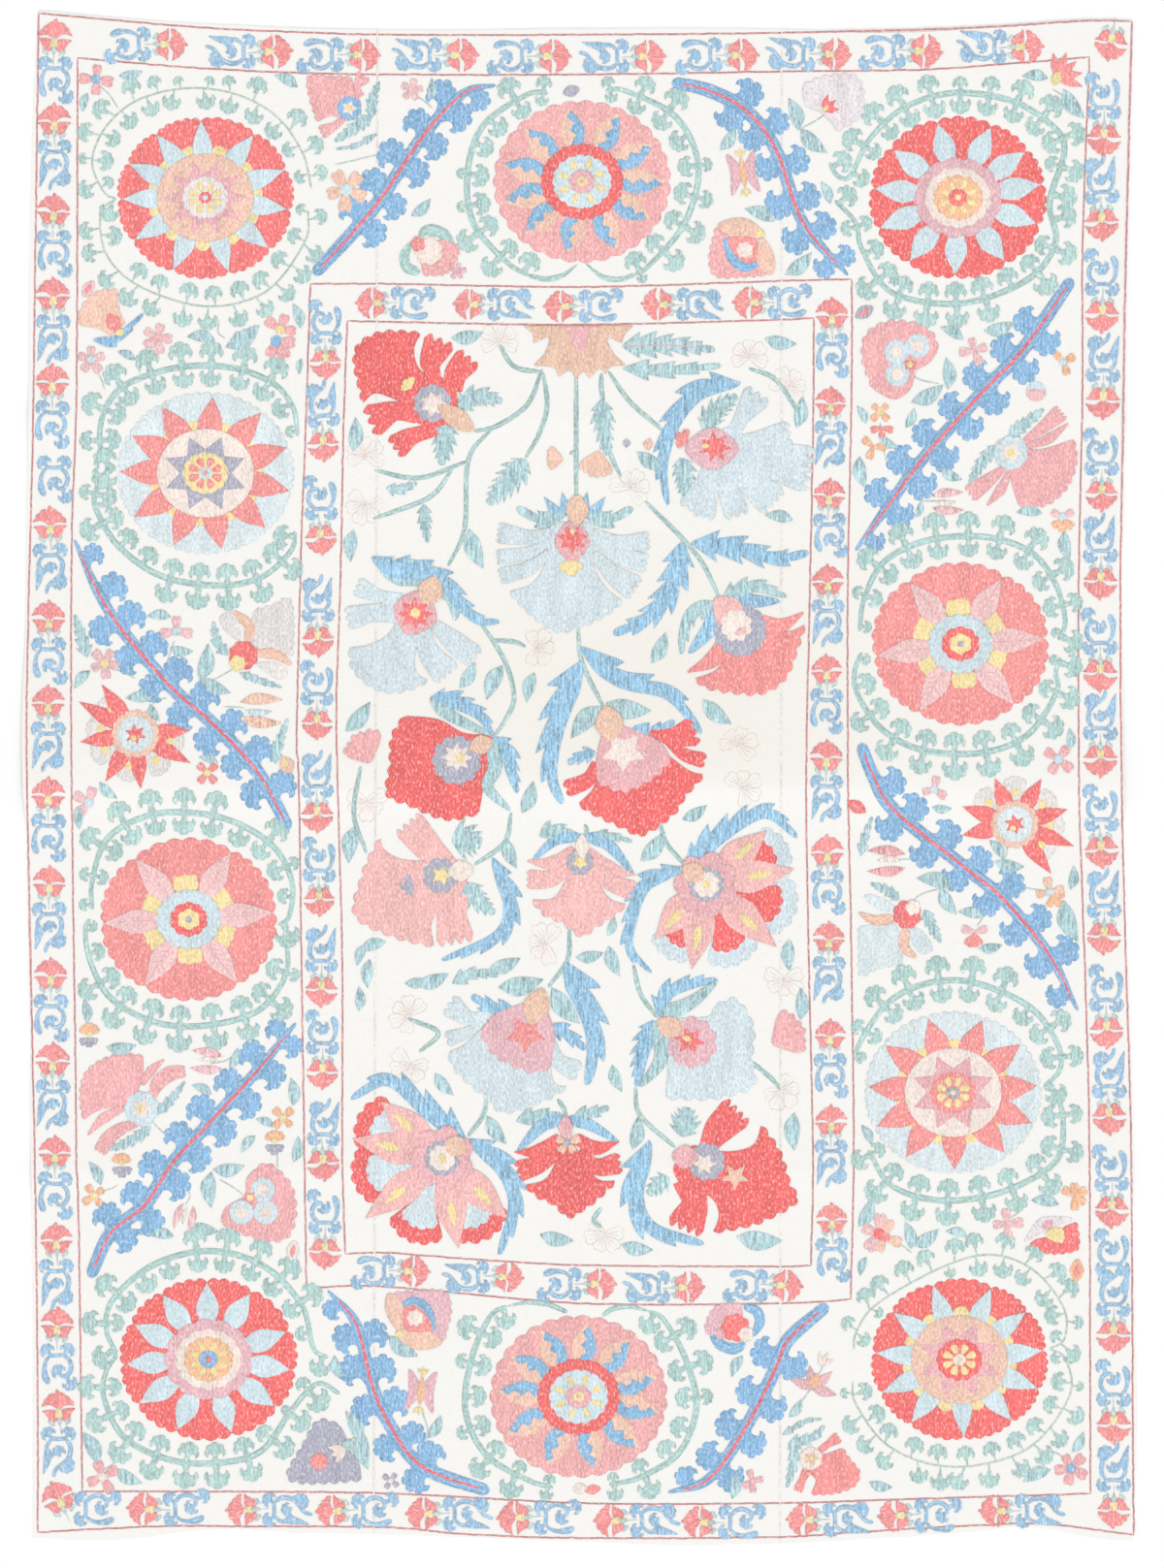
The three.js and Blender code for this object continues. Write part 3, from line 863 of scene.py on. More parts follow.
# A leafy wreath in teal grows round each rosette. Eight have thick stems with paired leaf heads.
# Two are thin vines with long-stalked heads. Most have two stems that leave an opening between them.
# A stem's row is the middle of its rosette and the few points that the stem goes through.
TEAL = dyed(184, 216, 212)
VINE_TEAL = dyed(200, 216, 210)
MOST_ROOM = 30.0
HEAD_CLEARANCE = 16
ROSETTE_REACH = 93
THICK_WREATHS = (
    ((600, 187), ((565, 96), (543, 98), (498, 130), (482, 179), (488, 230), (522, 270), (545, 284))),
    ((600, 187), ((624, 94), (645, 94), (698, 122), (720, 173), (706, 230), (670, 273), (655, 283))),
    ((988, 204), (
        (855, 168), (864, 182), (877, 181), (897, 143), (933, 111), (984, 96), (1045, 105), (1088, 133),
        (1097, 158), (1082, 209), (1088, 250), (1060, 288), (991, 313), (920, 302), (889, 258), (882, 230),
        (861, 207))),
    ((212, 488), (
        (119, 483), (108, 474), (103, 456), (105, 433), (115, 411), (135, 394), (184, 379), (237, 379),
        (281, 395), (302, 420), (307, 450))),
    ((212, 488), (
        (119, 483), (106, 492), (98, 510), (100, 527), (122, 563), (166, 594), (225, 604), (270, 595),
        (300, 568), (304, 548))),
    ((990, 664), (
        (886, 651), (891, 617), (912, 579), (958, 557), (1017, 554), (1063, 570), (1088, 602), (1098, 640),
        (1091, 660))),
    ((990, 664), (
        (1093, 678), (1088, 694), (1089, 714), (1060, 757), (1014, 776), (953, 774), (910, 753), (884, 716),
        (881, 693), (888, 673))),
    ((982, 1126), (
        (888, 1097), (883, 1083), (910, 1040), (943, 1018), (989, 1011), (1035, 1024), (1070, 1046),
        (1092, 1081), (1092, 1104), (1076, 1121))),
    ((982, 1126), (
        (1076, 1121), (1088, 1128), (1096, 1155), (1090, 1195), (1055, 1220), (1010, 1235), (960, 1237),
        (917, 1221), (895, 1186))),
    ((195, 948), (
        (95, 938), (95, 910), (110, 866), (150, 842), (196, 838), (242, 848), (283, 874), (301, 910),
        (298, 945), (287, 954))),
    ((195, 948), (
        (295, 966), (295, 1004), (268, 1041), (217, 1057), (163, 1055), (115, 1030), (93, 991), (88, 958),
        (93, 948))),
    ((215, 1401), (
        (338, 1400), (323, 1390), (311, 1346), (271, 1305), (215, 1290), (157, 1305), (116, 1341),
        (110, 1372), (121, 1397))),
    ((215, 1401), (
        (121, 1397), (110, 1413), (107, 1440), (128, 1482), (178, 1506), (231, 1508), (271, 1495),
        (300, 1455), (327, 1427), (350, 1437))),
    ((596, 1440), (
        (523, 1347), (505, 1358), (486, 1402), (480, 1455), (501, 1500), (544, 1526), (570, 1534))),
    ((596, 1440), (
        (669, 1352), (685, 1362), (707, 1402), (718, 1450), (700, 1498), (658, 1524), (628, 1531))),
)
THIN_WREATHS = (
    ((212, 204), (
        (321, 194), (312, 158), (286, 121), (245, 98), (194, 91), (143, 103), (110, 130), (95, 166),
        (107, 198), (120, 205))),
    ((212, 204), (
        (120, 205), (104, 220), (110, 263), (145, 296), (212, 316), (274, 301), (314, 250), (318, 217))),
    ((989, 1402), (
        (1082, 1391), (1097, 1381), (1097, 1350), (1067, 1311), (1023, 1294), (973, 1306), (905, 1344),
        (883, 1373), (880, 1392))),
    ((989, 1402), (
        (879, 1424), (882, 1447), (912, 1488), (960, 1510), (1013, 1510), (1066, 1489), (1103, 1438),
        (1098, 1401), (1082, 1391))),
)
LOOSE_ENDS = (
    ((545, 284), (563, 288), (580, 284), (595, 273)),
    ((655, 283), (640, 288), (622, 286), (604, 272)),
    ((585, 1353), (565, 1345), (544, 1343), (523, 1347)),
    ((621, 1357), (631, 1350), (647, 1347), (669, 1352)),
)


def outward(spine, about):
    """Unit steps from a wreath's stem away from its rosette."""
    step = np.gradient(spine, axis=0)
    side = np.column_stack([-step[:, 1], step[:, 0]]) / np.hypot(*step.T)[:, None]
    facing_out = np.sign(((spine - about) * side).sum(1))
    return side * facing_out[:, None]


def room_left(foot, way, about):
    """How far a head may reach from a stem before it meets a framing line, its rosette or a neighbour."""
    reach = MOST_ROOM
    low, high = (about[0] < 400, about[0] > 800)
    corner = about[1] < 290 or about[1] > 1345
    walls = ((80, 338) if corner else (81, 309)) if low else ((866, 1118) if corner else (878, 1117))
    walls = walls if low or high else (470, 735)
    floors = (78, 1546) if low or high else ((79, 292) if about[1] < 800 else (1345, 1548))
    for axis, (near, far) in ((0, walls), (1, floors)):
        if abs(way[axis]) > 0.2:
            wall = near if way[axis] < 0 else far
            reach = min(reach, (wall - foot[axis]) / way[axis])
    if np.dot(way, foot - about) < 0:
        reach = min(reach, np.hypot(foot[0] - about[0], (foot[1] - about[1]) / SQUASH) - ROSETTE_REACH)
    return reach


def stalked_head(foot, way, length, width, size, thread, about, lean=0.0):
    """A leaf head on a stalk that leaves a stem in some direction, smaller where there is little room."""
    share = min(1.0, room_left(foot, way, about) / (length + 16 * size))
    if share < 0.45:
        return
    length, width, size = length * share, width * (0.4 + 0.6 * share), size * share
    turn = np.degrees(np.arctan2(way[1], way[0])) + 90 + lean
    tip = laid(((0, -length),), foot, turn)[0]
    middle = laid(((0, -8 * size),), tip, turn)[0]
    if np.hypot(*(np.array(taken) - middle).T).min() < HEAD_CLEARANCE:
        return
    taken.append(middle)
    couch(smooth((foot, (foot + tip) / 2 + rng.normal(0, 0.4, 2), tip), 3), width, thread, layer=1,
          streak=0.9)
    head(tip, turn + rng.normal(0, 5), size * rng.uniform(0.94, 1.06), thread, 1)


def thick_wreath(about, stem):
    """A thick stem with a large head outside and a smaller one inside at every station."""
    spine = smooth(stem, SPINE_STEP)
    couch(spine, (4.5, 6.4, 6.4, 6.4, 4.5), TEAL, layer=0, streak=0.9)
    way = outward(spine, about)
    run = len(spine) * SPINE_STEP
    for station in np.linspace(6, run - 6, max(3, int(run / 29))):
        k = min(len(spine) - 1, int(station / SPINE_STEP))
        stalked_head(spine[k], way[k], 9, 7, 1.1, TEAL, about)
        stalked_head(spine[k], -way[k], 7, 6.5, 0.98, TEAL, about)


def thin_wreath(about, stem):
    """A thin vine with heads on slanting stalks, more of them outside than inside."""
    spine = smooth(stem, SPINE_STEP)
    couch(spine, 2, VINE_TEAL, layer=0, streak=0.5)
    way = outward(spine, about)
    run = len(spine) * SPINE_STEP
    for pitch, side, length, size in ((25, 1, 11, 0.9), (30, -1, 8.5, 0.85)):
        for station in np.arange(pitch / 2, run, pitch):
            k = min(len(spine) - 1, int(station / SPINE_STEP))
            stalked_head(spine[k], side * way[k], length, 1.6, size, TEAL, about, rng.normal(0, 14))


for about, stem in THICK_WREATHS:
    thick_wreath(np.array(about), stem)
for about, stem in THIN_WREATHS:
    thin_wreath(np.array(about), stem)
for end in LOOSE_ENDS:
    couch(smooth(end), (4.5, 6, 1.5), TEAL, streak=0.9)
gather("wreaths")

# The ground between rosettes, wreaths and branches is strewn with small flowers, buds and leaves.
# Leaves are streaky teal, sewn on thin stems, and the flowers are worked in two to five colours each.
# A leaf's row is its middle, the way its tip points, and its length. Turns go clockwise from straight up.
LEAF_TEAL = dyed(182, 214, 219)
FLOWER_PINK = dyed(244, 199, 202)
FLOWER_ROSE = dyed(247, 184, 186)
PALE_LILAC = dyed(240, 232, 236)
PEARL = dyed(234, 230, 227)
BUD_ORANGE = dyed(251, 196, 160)
SMALL_LEAVES = (
    (135, 76, 80, 24), (88, 106, 200, 20), (295, 84, 300, 26), (130, 367, 300, 20), (207, 349, 280, 28),
    (250, 347, 60, 40), (306, 326, 345, 26), (310, 378, 190, 16), (444, 92, 0, 22), (434, 214, 40, 26),
    (750, 143, 30, 28), (783, 222, 290, 32), (818, 118, 350, 34), (839, 145, 135, 36), (1067, 80, 280, 26),
    (1107, 107, 150, 36), (851, 199, 340, 24), (823, 272, 50, 34), (976, 385, 0, 32), (981, 344, 300, 26),
    (1030, 337, 70, 32), (888, 428, 330, 20), (938, 431, 25, 22), (916, 456, 120, 22), (889, 487, 170, 32),
    (956, 406, 60, 36), (947, 525, 20, 18), (981, 489, 120, 24), (1061, 529, 270, 26), (1100, 563, 170, 30),
    (1102, 762, 0, 22), (85, 701, 215, 24), (164, 636, 265, 24), (187, 670, 100, 24), (210, 683, 8, 38),
    (223, 707, 115, 32), (143, 721, 275, 26), (160, 735, 150, 20), (215, 784, 285, 20), (112, 815, 140, 24),
    (83, 843, 190, 24), (88, 1043, 350, 24), (125, 1079, 85, 30), (241, 1091, 20, 22), (208, 1124, 290, 22),
    (301, 1126, 350, 28), (273, 1158, 300, 20), (256, 1180, 220, 22), (305, 1185, 10, 26),
    (98, 1210, 330, 26), (166, 1274, 270, 26), (213, 1266, 105, 26), (218, 1227, 180, 36),
    (236, 1204, 80, 32), (93, 1493, 330, 36), (133, 1522, 120, 30), (364, 1471, 330, 34),
    (376, 1495, 170, 40), (348, 1410, 170, 24), (416, 1388, 120, 36), (448, 1471, 30, 26),
    (760, 1409, 210, 24), (756, 1532, 5, 26), (908, 1531, 100, 24), (1069, 1522, 250, 30),
    (1111, 1487, 30, 24), (892, 1250, 20, 32), (936, 1274, 340, 28), (954, 1276, 60, 32),
    (890, 1306, 200, 20), (986, 1272, 280, 22), (1077, 1240, 280, 28), (971, 833, 95, 20),
    (1027, 876, 330, 24), (1041, 891, 100, 30), (963, 910, 285, 36), (978, 929, 150, 32),
    (1001, 943, 280, 26), (1021, 976, 85, 24), (1104, 950, 160, 44), (1105, 905, 12, 24),
    (893, 1170, 330, 22), (820, 1452, 30, 22),
)
THIN_STEMS = (
    ((99, 86), (112, 97), (122, 112)), ((345, 170), (363, 166), (388, 160)),
    ((130, 367), (142, 372), (144, 385)), ((161, 356), (150, 365), (145, 380)),
    ((94, 378), (103, 388), (108, 402)), ((232, 349), (225, 343), (226, 330)),
    ((425, 97), (437, 104), (446, 112)), ((853, 116), (842, 124), (827, 132)),
    ((1085, 92), (1095, 98), (1110, 104)), ((1004, 370), (1008, 384), (1012, 394)),
    ((936, 385), (950, 392), (968, 396)), ((907, 436), (912, 470), (918, 480)),
    ((976, 516), (950, 516), (946, 505)), ((180, 660), (176, 672), (170, 690)),
    ((108, 688), (124, 692), (140, 700)), ((240, 690), (222, 700), (206, 702)),
    ((150, 735), (162, 722), (172, 720)), ((252, 730), (240, 729), (230, 729)),
    ((148, 1146), (165, 1165), (180, 1175)), ((217, 1097), (232, 1094), (242, 1088)),
    ((286, 1188), (286, 1205), (287, 1220)), ((97, 1230), (114, 1226), (122, 1222)),
    ((191, 1243), (196, 1233), (192, 1225)), ((256, 1236), (240, 1224), (226, 1216)),
    ((106, 1516), (118, 1508), (120, 1496)), ((345, 1492), (362, 1484), (374, 1478)),
    ((435, 1455), (440, 1470), (442, 1484)), ((853, 1400), (838, 1428), (826, 1446)),
    ((1104, 1510), (1092, 1500), (1084, 1496)), ((906, 1277), (926, 1282), (940, 1292)),
    ((1038, 1258), (1050, 1250), (1056, 1240)), ((935, 936), (950, 922), (976, 915)),
    ((1007, 955), (1012, 948), (1016, 940)), ((1081, 921), (1066, 917), (1052, 915)),
    ((1036, 862), (1038, 880), (1028, 892)), ((917, 887), (936, 886), (950, 888)),
)


def leaf(at, turn, length, thread=LEAF_TEAL, width=0.38, layer=1, bow=0.08):
    """A pointed leaf about its middle, a little fuller on one side."""
    full, slim = (width / 2 + bow) * length, (width / 2 - bow) * length
    outline = cornered((
        ((0, length / 2), (-slim, 0.2 * length), (-0.9 * slim, -0.12 * length), (0, -length / 2)),
        ((0, -length / 2), (0.9 * full, -0.15 * length), (full, 0.18 * length), (0, length / 2)),
    ), 2)
    fill(outline, thread, at=at, turn=turn, layer=layer, streak=1.7)


def saz(spine, width, teeth, thread, layer=1, sides=(1, 1)):
    """A long curved leaf whose sides are cut into saw teeth that lean towards its tip."""
    line = smooth(spine, 1.7)
    share = np.linspace(0, 1, len(line))
    along = np.gradient(line, axis=0)
    along = along / np.hypot(*along.T)[:, None]
    across = np.column_stack([-along[:, 1], along[:, 0]])
    half = width / 2 * np.clip(share / 0.2, 0.03, 1) ** 0.6 * np.clip(1 - share, 0.004, 1) ** 0.5
    saw = (share * teeth) % 1
    edges = []
    for way, toothed in zip((1, -1), sides):
        reach = half * (0.5 + 0.8 * saw) if toothed else half * 0.75
        lean = along * (width * 0.3 * saw * toothed * np.sin(np.pi * share))[:, None]
        edges.append(line + way * across * reach[:, None] + lean)
    fill(np.vstack([edges[0], edges[1][::-1][1:-1]]), thread, layer=layer, streak=1.7)


def oval(at, turn, length, width, thread, layer=2):
    """A rounded bulb or bud."""
    fill(smooth(((0, -length / 2), (width / 2, 0), (0, length / 2), (-width / 2, 0)), 2, True), thread,
         at=at, turn=turn, layer=layer)


def soft_petal(points, thread, layer=0):
    """A petal with a smooth outline all round."""
    fill(smooth(points, 2.2, True), thread, layer=layer)


def round_petal(length, width):
    """A petal from its foot at (0, 0) up to a broad, slightly notched end."""
    return mirrored((
        ((0, -0.92 * length), (0.3 * width, -length), (width / 2, -0.7 * length), (0.12 * width, 0)),), 1.8)


def sprig(at, turn, count, span, reach, thread, core=None, layer=1, width=0.62):
    """A small flower of rounded petals spread over part of a circle, with or without a core."""
    for lean in np.linspace(-span / 2, span / 2, count):
        size = reach * rng.uniform(0.9, 1.08)
        fill(round_petal(size, width * size), thread, at=at, turn=turn + lean, layer=layer)
    if core is not None:
        button(at, reach * 0.3, 6, 0.8, core, layer + 1)


def spiky(at, turn, count, span, reach, thread, layer=1, width=0.3):
    """Pointed petals spread over part of a circle."""
    for lean in np.linspace(-span / 2, span / 2, count):
        fill(petal(reach * rng.uniform(0.92, 1.05), 0.12 * reach, width * reach, 0.45), thread,
             at=at, turn=turn + lean, layer=layer)


def fan(at, turn, waist, reach, spread, scallops, thread, layer=1):
    """A fan of silk that opens from its waist to a scalloped edge."""
    half = np.radians(spread / 2)
    count = scallops * 6 + 1
    angle = np.linspace(half, -half, count)
    lobe = np.abs(np.sin(np.arange(count) * np.pi / 6))
    radius = reach * (1 - 0.05 * (1 - lobe) - 0.1 * (angle / half) ** 2)
    edge = np.column_stack([radius * np.sin(angle), -radius * np.cos(angle)])
    bend = (waist + 0.3 * (edge[0][0] - waist), -0.5 * radius[0] * np.cos(half))
    right = smooth(((waist, 0), bend, edge[0]), 2.5)[:-1]
    fill(np.vstack([right, edge, right[::-1] * (-1, 1)]), thread, at=at, turn=turn, layer=layer)


def ribbon(spine, widths, thread, bumps=3, layer=1):
    """A curved petal that widens to a scalloped end."""
    line = smooth(spine, 2.5)
    along = np.gradient(line, axis=0)
    along = along / np.hypot(*along.T)[:, None]
    across = np.column_stack([-along[:, 1], along[:, 0]])
    half = np.interp(np.linspace(0, 1, len(line)), np.linspace(0, 1, len(widths)), widths) / 2
    low, high = line + across * half[:, None], line - across * half[:, None]
    share = np.linspace(0, 1, bumps * 5 + 1)[1:-1]
    puff = 0.22 * widths[-1] * np.abs(np.sin(bumps * np.pi * share))
    end = low[-1] + (high[-1] - low[-1]) * share[:, None] + along[-1] * puff[:, None]
    fill(np.vstack([low, end, high[::-1]]), thread, layer=layer)


def flounce(side, rim, back, lobes, thread, layer=1):
    """A broad petal: a smooth side from its foot, a scalloped rim, and a smooth side back to the foot."""
    edge = smooth(rim, 1.6)
    step = np.gradient(edge, axis=0)
    out = np.column_stack([step[:, 1], -step[:, 0]]) / np.hypot(*step.T)[:, None]
    foot = (np.array(side[0]) + back[-1]) / 2
    out = out * np.sign(((edge - foot) * out).sum())
    share = np.linspace(0, 1, len(edge))
    puff = 0.45 * len(edge) / lobes * (np.abs(np.sin(np.pi * lobes * share)) - 0.5)
    edge = edge + out * puff[:, None]
    there = smooth(side + rim[:1], 2.2)[:-1]
    again = smooth(rim[-1:] + back, 2.2)[1:]
    fill(np.vstack([there, edge, again]), thread, layer=layer)


def ribbons(thread, rows):
    """Curved petals in one thread, each from its spine, its widths along it and its number of scallops."""
    for spine, widths, bumps in rows:
        ribbon(spine, widths, thread, bumps)


def heart(at, reach, scallops, ring, points, pointed, dot, layer=2, turn=0):
    """A scalloped round with a star on it and a dot, at a flower's middle."""
    button(at, reach, scallops, 0.1 * reach, ring, layer)
    star(at, points, 0.74 * reach, 0.4 * reach, pointed, layer + 1, turn)
    button(at, 0.22 * reach, 1, 0, dot, layer + 2)


def star_bloom(at, tips, shadows):
    """A red star: long petals round a peach ring, a sky disc with a small star, and pearl fans between."""
    for angle in shadows:
        fan(around(at, 22, angle), angle + 90, 7, 30, 56, 4, PEARL, 0)
        button(around(at, 36, angle), 4.5, 1, 0, YELLOW, 1)
    for angle, reach in tips:
        foot, tip = around(at, 18, angle), around(at, reach, angle)
        length, turn = facing(foot, tip)
        fill(petal(length, 12, 17, 0.4), CORAL, at=foot, turn=turn, layer=1)
    button(at, 25, 15, 2, PEACH, 2)
    button(at, 18.5, 1, 0, PALE_SKY, 3)
    star(at, 6, 12, 6, CORAL, 4, 20)
    button(around(at, 5, 110), 3, 1, 0, YELLOW, 5)


def heart_flower(turn, lobes, middle):
    """Three sky lobes, pale inside, round a small red and yellow middle, on a heart-shaped rose petal."""
    for lobe in lobes:
        button(lobe, 12.5, 1, 0, SKY, 2)
        button(lobe, 6.5, 1, 0, CREAM, 3)
    star(middle, 5, 8, 4, SOFT_CORAL, 4, turn)
    button(middle, 3.5, 1, 0, YELLOW, 5)


def tulip(at, turn, thread, inner, length=38):
    """A bud in profile: two long wavy petals beside a paler one."""
    for side in (-1, 1):
        spot = laid(((side * 0.22 * length, -0.56 * length),), at, turn)[0]
        leaf(spot, turn + side * 5, length, thread, 0.24, 1, 0.05 * side)
    leaf(laid(((0, -0.5 * length),), at, turn)[0], turn, 0.66 * length, inner, 0.22, 1)


def placer(at, turn):
    """A way to move a flower's points to its place on the cloth."""
    return lambda points: [tuple(point) for point in laid(points, at, turn)]


def poppy(at, turn, body, arcs, core, spot):
    """A flower from the side: a scalloped petal, two arcs that clasp it, and a lobed core with a spot."""
    placed = placer(at, turn)
    flounce(placed(((-2, 1), (-10, 11))), placed(((-20, 12), (-31, 3), (-27, -13), (-16, -24), (6, -25))),
            placed(((8, -13),)), 9, body)
    couch(smooth(placed(((9, -22), (22, -17), (25, -5), (18, 9)))), (8, 11, 10, 4), arcs, layer=1, streak=0.9)
    couch(smooth(placed(((-25, 5), (-16, 17), (0, 22), (10, 16)))), (6, 11, 12, 6), arcs, layer=1, streak=0.9)
    button(at, 15, 7, 2.5, core, 2)
    button(placed(((11, 7),))[0], 8, 5, 1.5, spot, 3)


def mallow(at, turn, body):
    """A flower from the side: a scalloped petal over two peach ones, a blue arc and a framed pale middle."""
    placed = placer(at, turn)
    flounce(placed(((-2, -4), (-17, -11))), placed(((-21, -23), (5, -25), (31, -24), (38, -6), (31, 27))),
            placed(((19, 18), (9, 6))), 12, body)
    soft_petal(placed(((-27, -22), (-30, -8), (-25, 6), (-15, 16), (-10, -4), (-17, -18))), PEACH, 2)
    soft_petal(placed(((-19, 18), (-7, 32), (9, 36), (29, 29), (17, 17), (-3, 14))), PEACH, 2)
    couch(smooth(placed(((-13, -11), (1, -15), (14, -6), (21, 16)))), (6, 10, 10, 6), BRIGHT_BLUE, layer=2,
          streak=0.9)
    soft_petal(placed(((-10, -8), (5, -7), (16, 5), (17, 16), (-9, 15))), SOFT_CORAL, 3)
    button(placed(((1, 3),))[0], 9, 7, 2, CREAM, 4)
    oval(placed(((-15, 20),))[0], turn, 8, 10, YELLOW, 3)


def butterfly(at, turn):
    """Two mauve wings beside an orange body with yellow ends."""
    for side in (-1, 1):
        wing = ((0, 0), (side * 8, -16), (side * 15, -20), (side * 13, 0), (side * 15, 22), (side * 7, 14))
        fill(laid(smooth(wing, 2.2, True), at, turn), DUSK_MAUVE, layer=1)
    oval(at, turn, 32, 7, ORANGE, 2)
    for end in (-22, 23):
        spiky(laid(((0, end * 0.75),), at, turn)[0], turn + (0 if end < 0 else 180), 3, 90, 9, YELLOW, 2, 0.4)


def pansy(at, turn, cap, face):
    """Two cap petals over a face of three."""
    sprig(at, turn, 3, 110, 11, cap, YELLOW, 1, 0.8)
    sprig(laid(((0, 5),), at, turn)[0], turn + 180, 3, 130, 10, face, None, 0, 0.8)


for across, down, turn, length in SMALL_LEAVES:
    leaf((across, down), turn + rng.normal(0, 4), length * 1.06)
for stem in THIN_STEMS:
    couch(smooth(stem, 3), 1.5, VINE_TEAL)
for spine, width, teeth in (
        (((383, 122), (384, 103), (391, 84)), 14, 5), (((383, 120), (366, 132), (345, 146)), 17, 6),
        (((389, 138), (368, 150), (346, 154)), 8, 3), (((240, 347), (252, 344), (266, 336)), 11, 4),
        (((90, 678), (84, 656), (77, 634)), 16, 5), (((235, 676), (224, 662), (220, 641)), 14, 4),
        (((247, 694), (268, 702), (291, 709)), 10, 5), (((284, 788), (287, 768), (297, 741)), 13, 5),
        (((1040, 450), (1058, 436), (1076, 422)), 17, 6), (((1028, 459), (1013, 476), (999, 499)), 16, 6),
        (((162, 1149), (178, 1132), (191, 1115)), 12, 5), (((156, 1162), (136, 1176), (112, 1186)), 15, 6),
        (((887, 883), (892, 862), (899, 842)), 11, 4), (((927, 928), (914, 918), (897, 911)), 15, 5),
        (((953, 938), (960, 954), (970, 972)), 15, 5), (((806, 1480), (830, 1466), (848, 1463)), 8, 4),
        (((812, 1490), (838, 1482), (850, 1470)), 15, 4), (((818, 1484), (818, 1508), (811, 1534)), 14, 5)):
    saz(spine, width, teeth, LEAF_TEAL)
for at, turn, count, span, reach, thread, core in (
        ((357, 196), 40, 5, 288, 22, PEACH, SKY), ((161, 349), 20, 5, 288, 16, FLOWER_PINK, MAUVE),
        ((94, 371), 0, 5, 288, 15, FLOWER_PINK, SKY), ((425, 93), 10, 5, 288, 12, FLOWER_PINK, None),
        ((472, 280), 80, 5, 288, 9, DUSK_MAUVE, None), ((1004, 362), 30, 4, 250, 15, FLOWER_PINK, None),
        ((1096, 374), 60, 3, 200, 14, BUD_ORANGE, SKY), ((907, 425), 0, 4, 270, 12, BUD_ORANGE, YELLOW),
        ((909, 441), 180, 3, 150, 12, SOFT_CORAL, None), ((900, 461), 200, 3, 220, 13, BUD_ORANGE, None),
        ((1095, 533), 0, 2, 130, 14, FLOWER_PINK, SKY), ((1095, 536), 180, 3, 110, 13, BUD_ORANGE, None),
        ((1091, 783), 350, 4, 280, 17, FLOWER_ROSE, SKY), ((108, 684), 30, 5, 288, 16, FLOWER_PINK, YELLOW),
        ((182, 651), 0, 3, 200, 16, FLOWER_PINK, SKY), ((214, 797), 0, 4, 280, 13, SOFT_CORAL, YELLOW),
        ((92, 828), 300, 3, 150, 17, FLOWER_PINK, SKY), ((292, 1153), 0, 4, 270, 13, BUD_ORANGE, YELLOW),
        ((97, 1233), 10, 4, 270, 13, BUD_ORANGE, YELLOW),
        ((106, 1523), 200, 4, 280, 17, FLOWER_ROSE, CREAM), ((403, 1527), 80, 4, 270, 10, LILAC, CREAM),
        ((776, 1527), 30, 4, 300, 12, DUSK_MAUVE, ROSE),
        ((1104, 1514), 190, 5, 288, 17, FLOWER_ROSE, BRIGHT_BLUE),
        ((906, 1272), 290, 3, 150, 20, FLOWER_PINK, CORAL),
        ((912, 1276), 110, 3, 190, 18, PEACH, SOFT_CORAL),
        ((1038, 1262), 40, 4, 270, 16, FLOWER_PINK, None), ((1107, 1234), 60, 5, 230, 15, BUD_ORANGE, None),
        ((963, 814), 10, 3, 230, 14, FLOWER_PINK, SKY), ((1005, 961), 0, 2, 150, 15, FLOWER_PINK, None),
        ((1005, 963), 185, 3, 60, 14, SOFT_CORAL, None), ((1082, 920), 350, 3, 180, 15, PEACH, SKY),
        ((1085, 924), 140, 3, 120, 13, BUD_ORANGE, None), ((289, 340), 20, 3, 150, 17, FLOWER_ROSE, YELLOW),
        ((285, 352), 150, 3, 110, 20, FLOWER_ROSE, BRIGHT_BLUE),
        ((99, 82), 320, 4, 280, 17, FLOWER_ROSE, BRIGHT_BLUE)):
    sprig(at, turn, count, span, reach, thread, core)
for at, turn, thread, inner, length in (
        ((958, 518), 88, FLOWER_PINK, CREAM, 34), ((232, 1096), 276, FLOWER_PINK, CREAM, 34),
        ((936, 888), 270, FLOWER_ROSE, CREAM, 40), ((244, 732), 92, PEACH, SKY, 45),
        ((195, 1240), 196, FLOWER_PINK, CREAM, 29)):
    tulip(at, turn, thread, inner, length)
oval((296, 789), 150, 19, 16, PEACH, 1)
oval((294, 787), 150, 10, 7, YELLOW, 2)
for at, turn, reach, thread in (((91, 298), 215, 20, FLOWER_PINK), ((891, 322), 60, 22, LILAC),
                                ((883, 832), 300, 22, CORAL), ((302, 1290), 190, 22, PEARL),
                                ((1110, 1310), 185, 24, BUD_ORANGE)):
    oval(at, turn, reach, reach * 0.6, thread, 1)
    oval(at, turn, reach * 0.6, reach * 0.26, SOFT_CORAL, 2)
